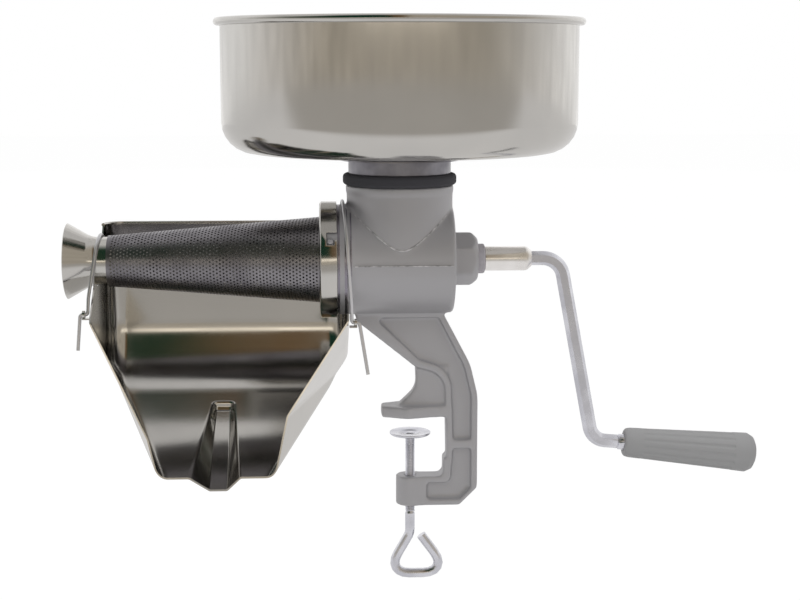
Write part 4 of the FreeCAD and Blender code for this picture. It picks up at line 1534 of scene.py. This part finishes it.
@dataclass
class Studio:
    """Camera, lamps, floor and backdrop."""

    camera_place: Point = (-54.9, -941.0, 221.8)
    pitch: float = 9.0
    yaw: float = 2.96
    focal_pixels: float = 1550.0
    image_width: float = 800.0
    sensor: float = 36.0
    floor_z: float = -133.0
    fill_level: float = 0.24
    table: Colour = (0.78, 0.77, 0.765)
    roof: Colour = (0.70, 0.69, 0.68)
    table_far: Colour = (0.46, 0.44, 0.41)
    table_edge: float = 0.45
    room_radius: float = 4.0
    wall_front: Colour = (0.47, 0.425, 0.355)
    wall_back: Colour = (0.97, 0.96, 0.95)
    dark_green: Colour = (0.010, 0.040, 0.024)
    dark_brown: Colour = (0.16, 0.10, 0.05)
    table_fade: float = 2.2
    floor_glow: float = 1.06
    floor_share: float = 0.92
    side_turn: Pair = (0.7, 2.3)
    brown_x: Pair = (-0.46, -0.40)
    warm_x: Pair = (-0.1, 0.3)
    dark_z: Pair = (0.66, 0.86)
    roof_z: Pair = (2.4, 3.2)
    roof_y: Pair = (-2.0, 0.4)
    streak_scale: Pair = (3.2, 0.35)
    streak_noise: Pair = (0.3, 0.7)
    streak_level: Pair = (0.72, 1.28)
    window_low: Pair = (0.30, 0.5)
    window_high: Pair = (0.6, 0.75)
    window_turn: Pair = (0.3, 0.7)
    window_glow: float = 2.4
    aim: Point = (0.0, 0.0, 0.08)
    lamps: tuple[tuple[str, Point, float, float], ...] = (
        ("key", (-0.9, -1.3, 1.5), 0.8, 7.0),
        ("fill", (1.3, -0.9, 0.7), 0.9, 2.6),
        ("top", (0.1, 0.3, 1.6), 0.8, 5.0),
    )

    def build_camera(self) -> None:
        """Camera at the photograph's viewing angle."""
        data = bpy.data.cameras.new("photo_camera")
        data.sensor_fit = "HORIZONTAL"
        data.sensor_width = self.sensor
        data.lens = self.focal_pixels / self.image_width * self.sensor
        data.clip_start = 0.01
        data.clip_end = 50.0
        camera = bpy.data.objects.new("photo_camera", data)
        bpy.context.scene.collection.objects.link(camera)
        camera.location = Vector(self.camera_place) * MM
        camera.rotation_euler = (math.radians(90 - self.pitch), 0, math.radians(-self.yaw))
        bpy.context.scene.camera = camera

    def add_lamp(self, name: str, place: Point, size: float, watts: float) -> None:
        """Square area lamp aimed at the object's middle."""
        data = bpy.data.lights.new(name, "AREA")
        data.shape = "SQUARE"
        data.size = size
        data.energy = watts
        lamp = bpy.data.objects.new(name, data)
        bpy.context.scene.collection.objects.link(lamp)
        lamp.location = place
        lamp.visible_glossy = False
        aim = Vector(self.aim) - Vector(place)
        lamp.rotation_euler = aim.to_track_quat("-Z", "Y").to_euler()

    def build_world(self) -> None:
        """White to the camera, a plain level for light."""
        world = bpy.data.worlds.new("studio")
        bpy.context.scene.world = world
        world.use_nodes = True
        tree = world.node_tree
        rays = tree.nodes.new("ShaderNodeLightPath").outputs
        seen = compute(tree, "MAXIMUM", rays["Is Camera Ray"], rays["Is Transmission Ray"])
        feed(tree, tree.nodes["Background"].inputs, {
            "Color": (1, 1, 1, 1),
            "Strength": spread(tree, seen, 0.0, 1.0, (self.fill_level, 1.0)),
        })

    def build_floor(self) -> None:
        """White table that keeps a faint shadow, and greys towards the room in reflections."""
        deselect_all()
        bpy.ops.mesh.primitive_plane_add(size=12.0, location=(0, 0, self.floor_z * MM))
        floor = bpy.context.object
        floor.name = "floor"
        material, tree, surface = new_material("floor_white")
        feed(tree, surface.inputs, {"Base Color": (0.9, 0.9, 0.9, 1), "Roughness": 0.6})
        rays = tree.nodes.new("ShaderNodeLightPath").outputs
        _, _, y, _ = places(tree)
        far = ease(tree, y, -self.table_edge, -self.table_edge * self.table_fade)
        table = tint(tree, far, self.table, self.table_far)
        colour = tint(tree, rays["Is Camera Ray"], table, (1.0, 1.0, 1.0))
        glow = add_node(tree, "Emission", {"Color": colour, "Strength": self.floor_glow})
        seen = compute(tree, "MAXIMUM", rays["Is Camera Ray"], rays["Is Glossy Ray"])
        share = spread(tree, seen, 0.0, 1.0, (0.0, self.floor_share))
        blend = add_node(
            tree, "MixShader", {"Fac": share, 1: surface.outputs["BSDF"], 2: glow.outputs["Emission"]}
        )
        feed(tree, tree.nodes["Material Output"].inputs, {"Surface": blend.outputs["Shader"]})
        floor.data.materials.append(material)

    def azimuth(self, tree: Tree, x: Socket, y: Socket) -> Socket:
        """Angle round the room from its front, in radians."""
        return compute(tree, "ARCTAN2", x, compute(tree, "MULTIPLY", y, -1.0))

    def room_colour(self, tree: Tree) -> Socket:
        """Walls of the room: warm in front, white behind, dark above the front wall."""
        _, x, y, z = places(tree)
        turn = compute(tree, "ABSOLUTE", self.azimuth(tree, x, y))
        side = ease(tree, turn, *self.side_turn)
        wall = tint(tree, side, self.wall_front, self.wall_back)
        left = tint(tree, ease(tree, x, *self.brown_x), self.dark_green, self.dark_brown)
        dark = tint(tree, ease(tree, x, *self.warm_x), left, self.wall_front)
        front = compute(tree, "SUBTRACT", 1.0, side)
        above = compute(tree, "MULTIPLY", ease(tree, z, *self.dark_z), front)
        lower = tint(tree, above, wall, dark)
        roof = compute(
            tree, "MULTIPLY", ease(tree, z, *self.roof_z), ease(tree, y, *self.roof_y)
        )
        return tint(tree, roof, lower, self.roof)

    def room_level(self, tree: Tree) -> Socket:
        """Brightness of the walls: upright streaks and a window band in front."""
        _, x, y, z = places(tree)
        turn = self.azimuth(tree, x, y)
        where = add_node(tree, "CombineXYZ", {
            "X": compute(tree, "MULTIPLY", turn, self.streak_scale[0]),
            "Y": compute(tree, "MULTIPLY", z, self.streak_scale[1]),
        })
        streaks = noise(tree, where.outputs["Vector"], 5.0, 5.0, 0.62)
        level = spread(tree, streaks, *self.streak_noise, self.streak_level)
        under = compute(tree, "SUBTRACT", 1.0, ease(tree, z, *self.window_high))
        band = compute(tree, "MULTIPLY", ease(tree, z, *self.window_low), under)
        aside = ease(tree, compute(tree, "ABSOLUTE", turn), *self.window_turn)
        window = compute(tree, "MULTIPLY", band, compute(tree, "SUBTRACT", 1.0, aside))
        lift = compute(tree, "MULTIPLY_ADD", window, self.window_glow, 1.0)
        return compute(tree, "MULTIPLY", level, lift)

    def build_room(self) -> None:
        """Room round the object that only shows as a reflection in the metal."""
        deselect_all()
        bpy.ops.mesh.primitive_uv_sphere_add(
            radius=self.room_radius, segments=64, ring_count=32, location=(0, 0, 0)
        )
        room = bpy.context.object
        room.name = "room"
        room.visible_camera = False
        room.visible_diffuse = False
        room.visible_shadow = False
        room.visible_transmission = False
        material, tree, surface = new_material("room_walls")
        tree.nodes.remove(surface)
        glow = add_node(
            tree, "Emission", {"Color": self.room_colour(tree), "Strength": self.room_level(tree)}
        )
        feed(tree, tree.nodes["Material Output"].inputs, {"Surface": glow.outputs["Emission"]})
        room.data.materials.append(material)

    def build(self) -> None:
        """Set the stage."""
        self.build_camera()
        self.build_world()
        self.build_floor()
        self.build_room()
        for lamp in self.lamps:
            self.add_lamp(*lamp)


def main() -> None:
    """Build the object's looks and its stage."""
    logging.basicConfig(level=logging.INFO, format="%(name)s: %(message)s")
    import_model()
    bpy.context.view_layer.update()
    bpy.context.scene.view_settings.view_transform = "Standard"
    mottle_group()
    lines_group()
    zone_group()
    for finish in FINISHES:
        finish.shader()
    for part in (CastBody(), Hopper(), Screen(), Chute(), FeedScrew(), Crank(), Grip(), Clamp()):
        part.build()
        LOG.info("%s done", type(part).__name__)
    Studio().build()
    deselect_all()
    bpy.context.view_layer.update()


if __name__ == "__main__":
    main()
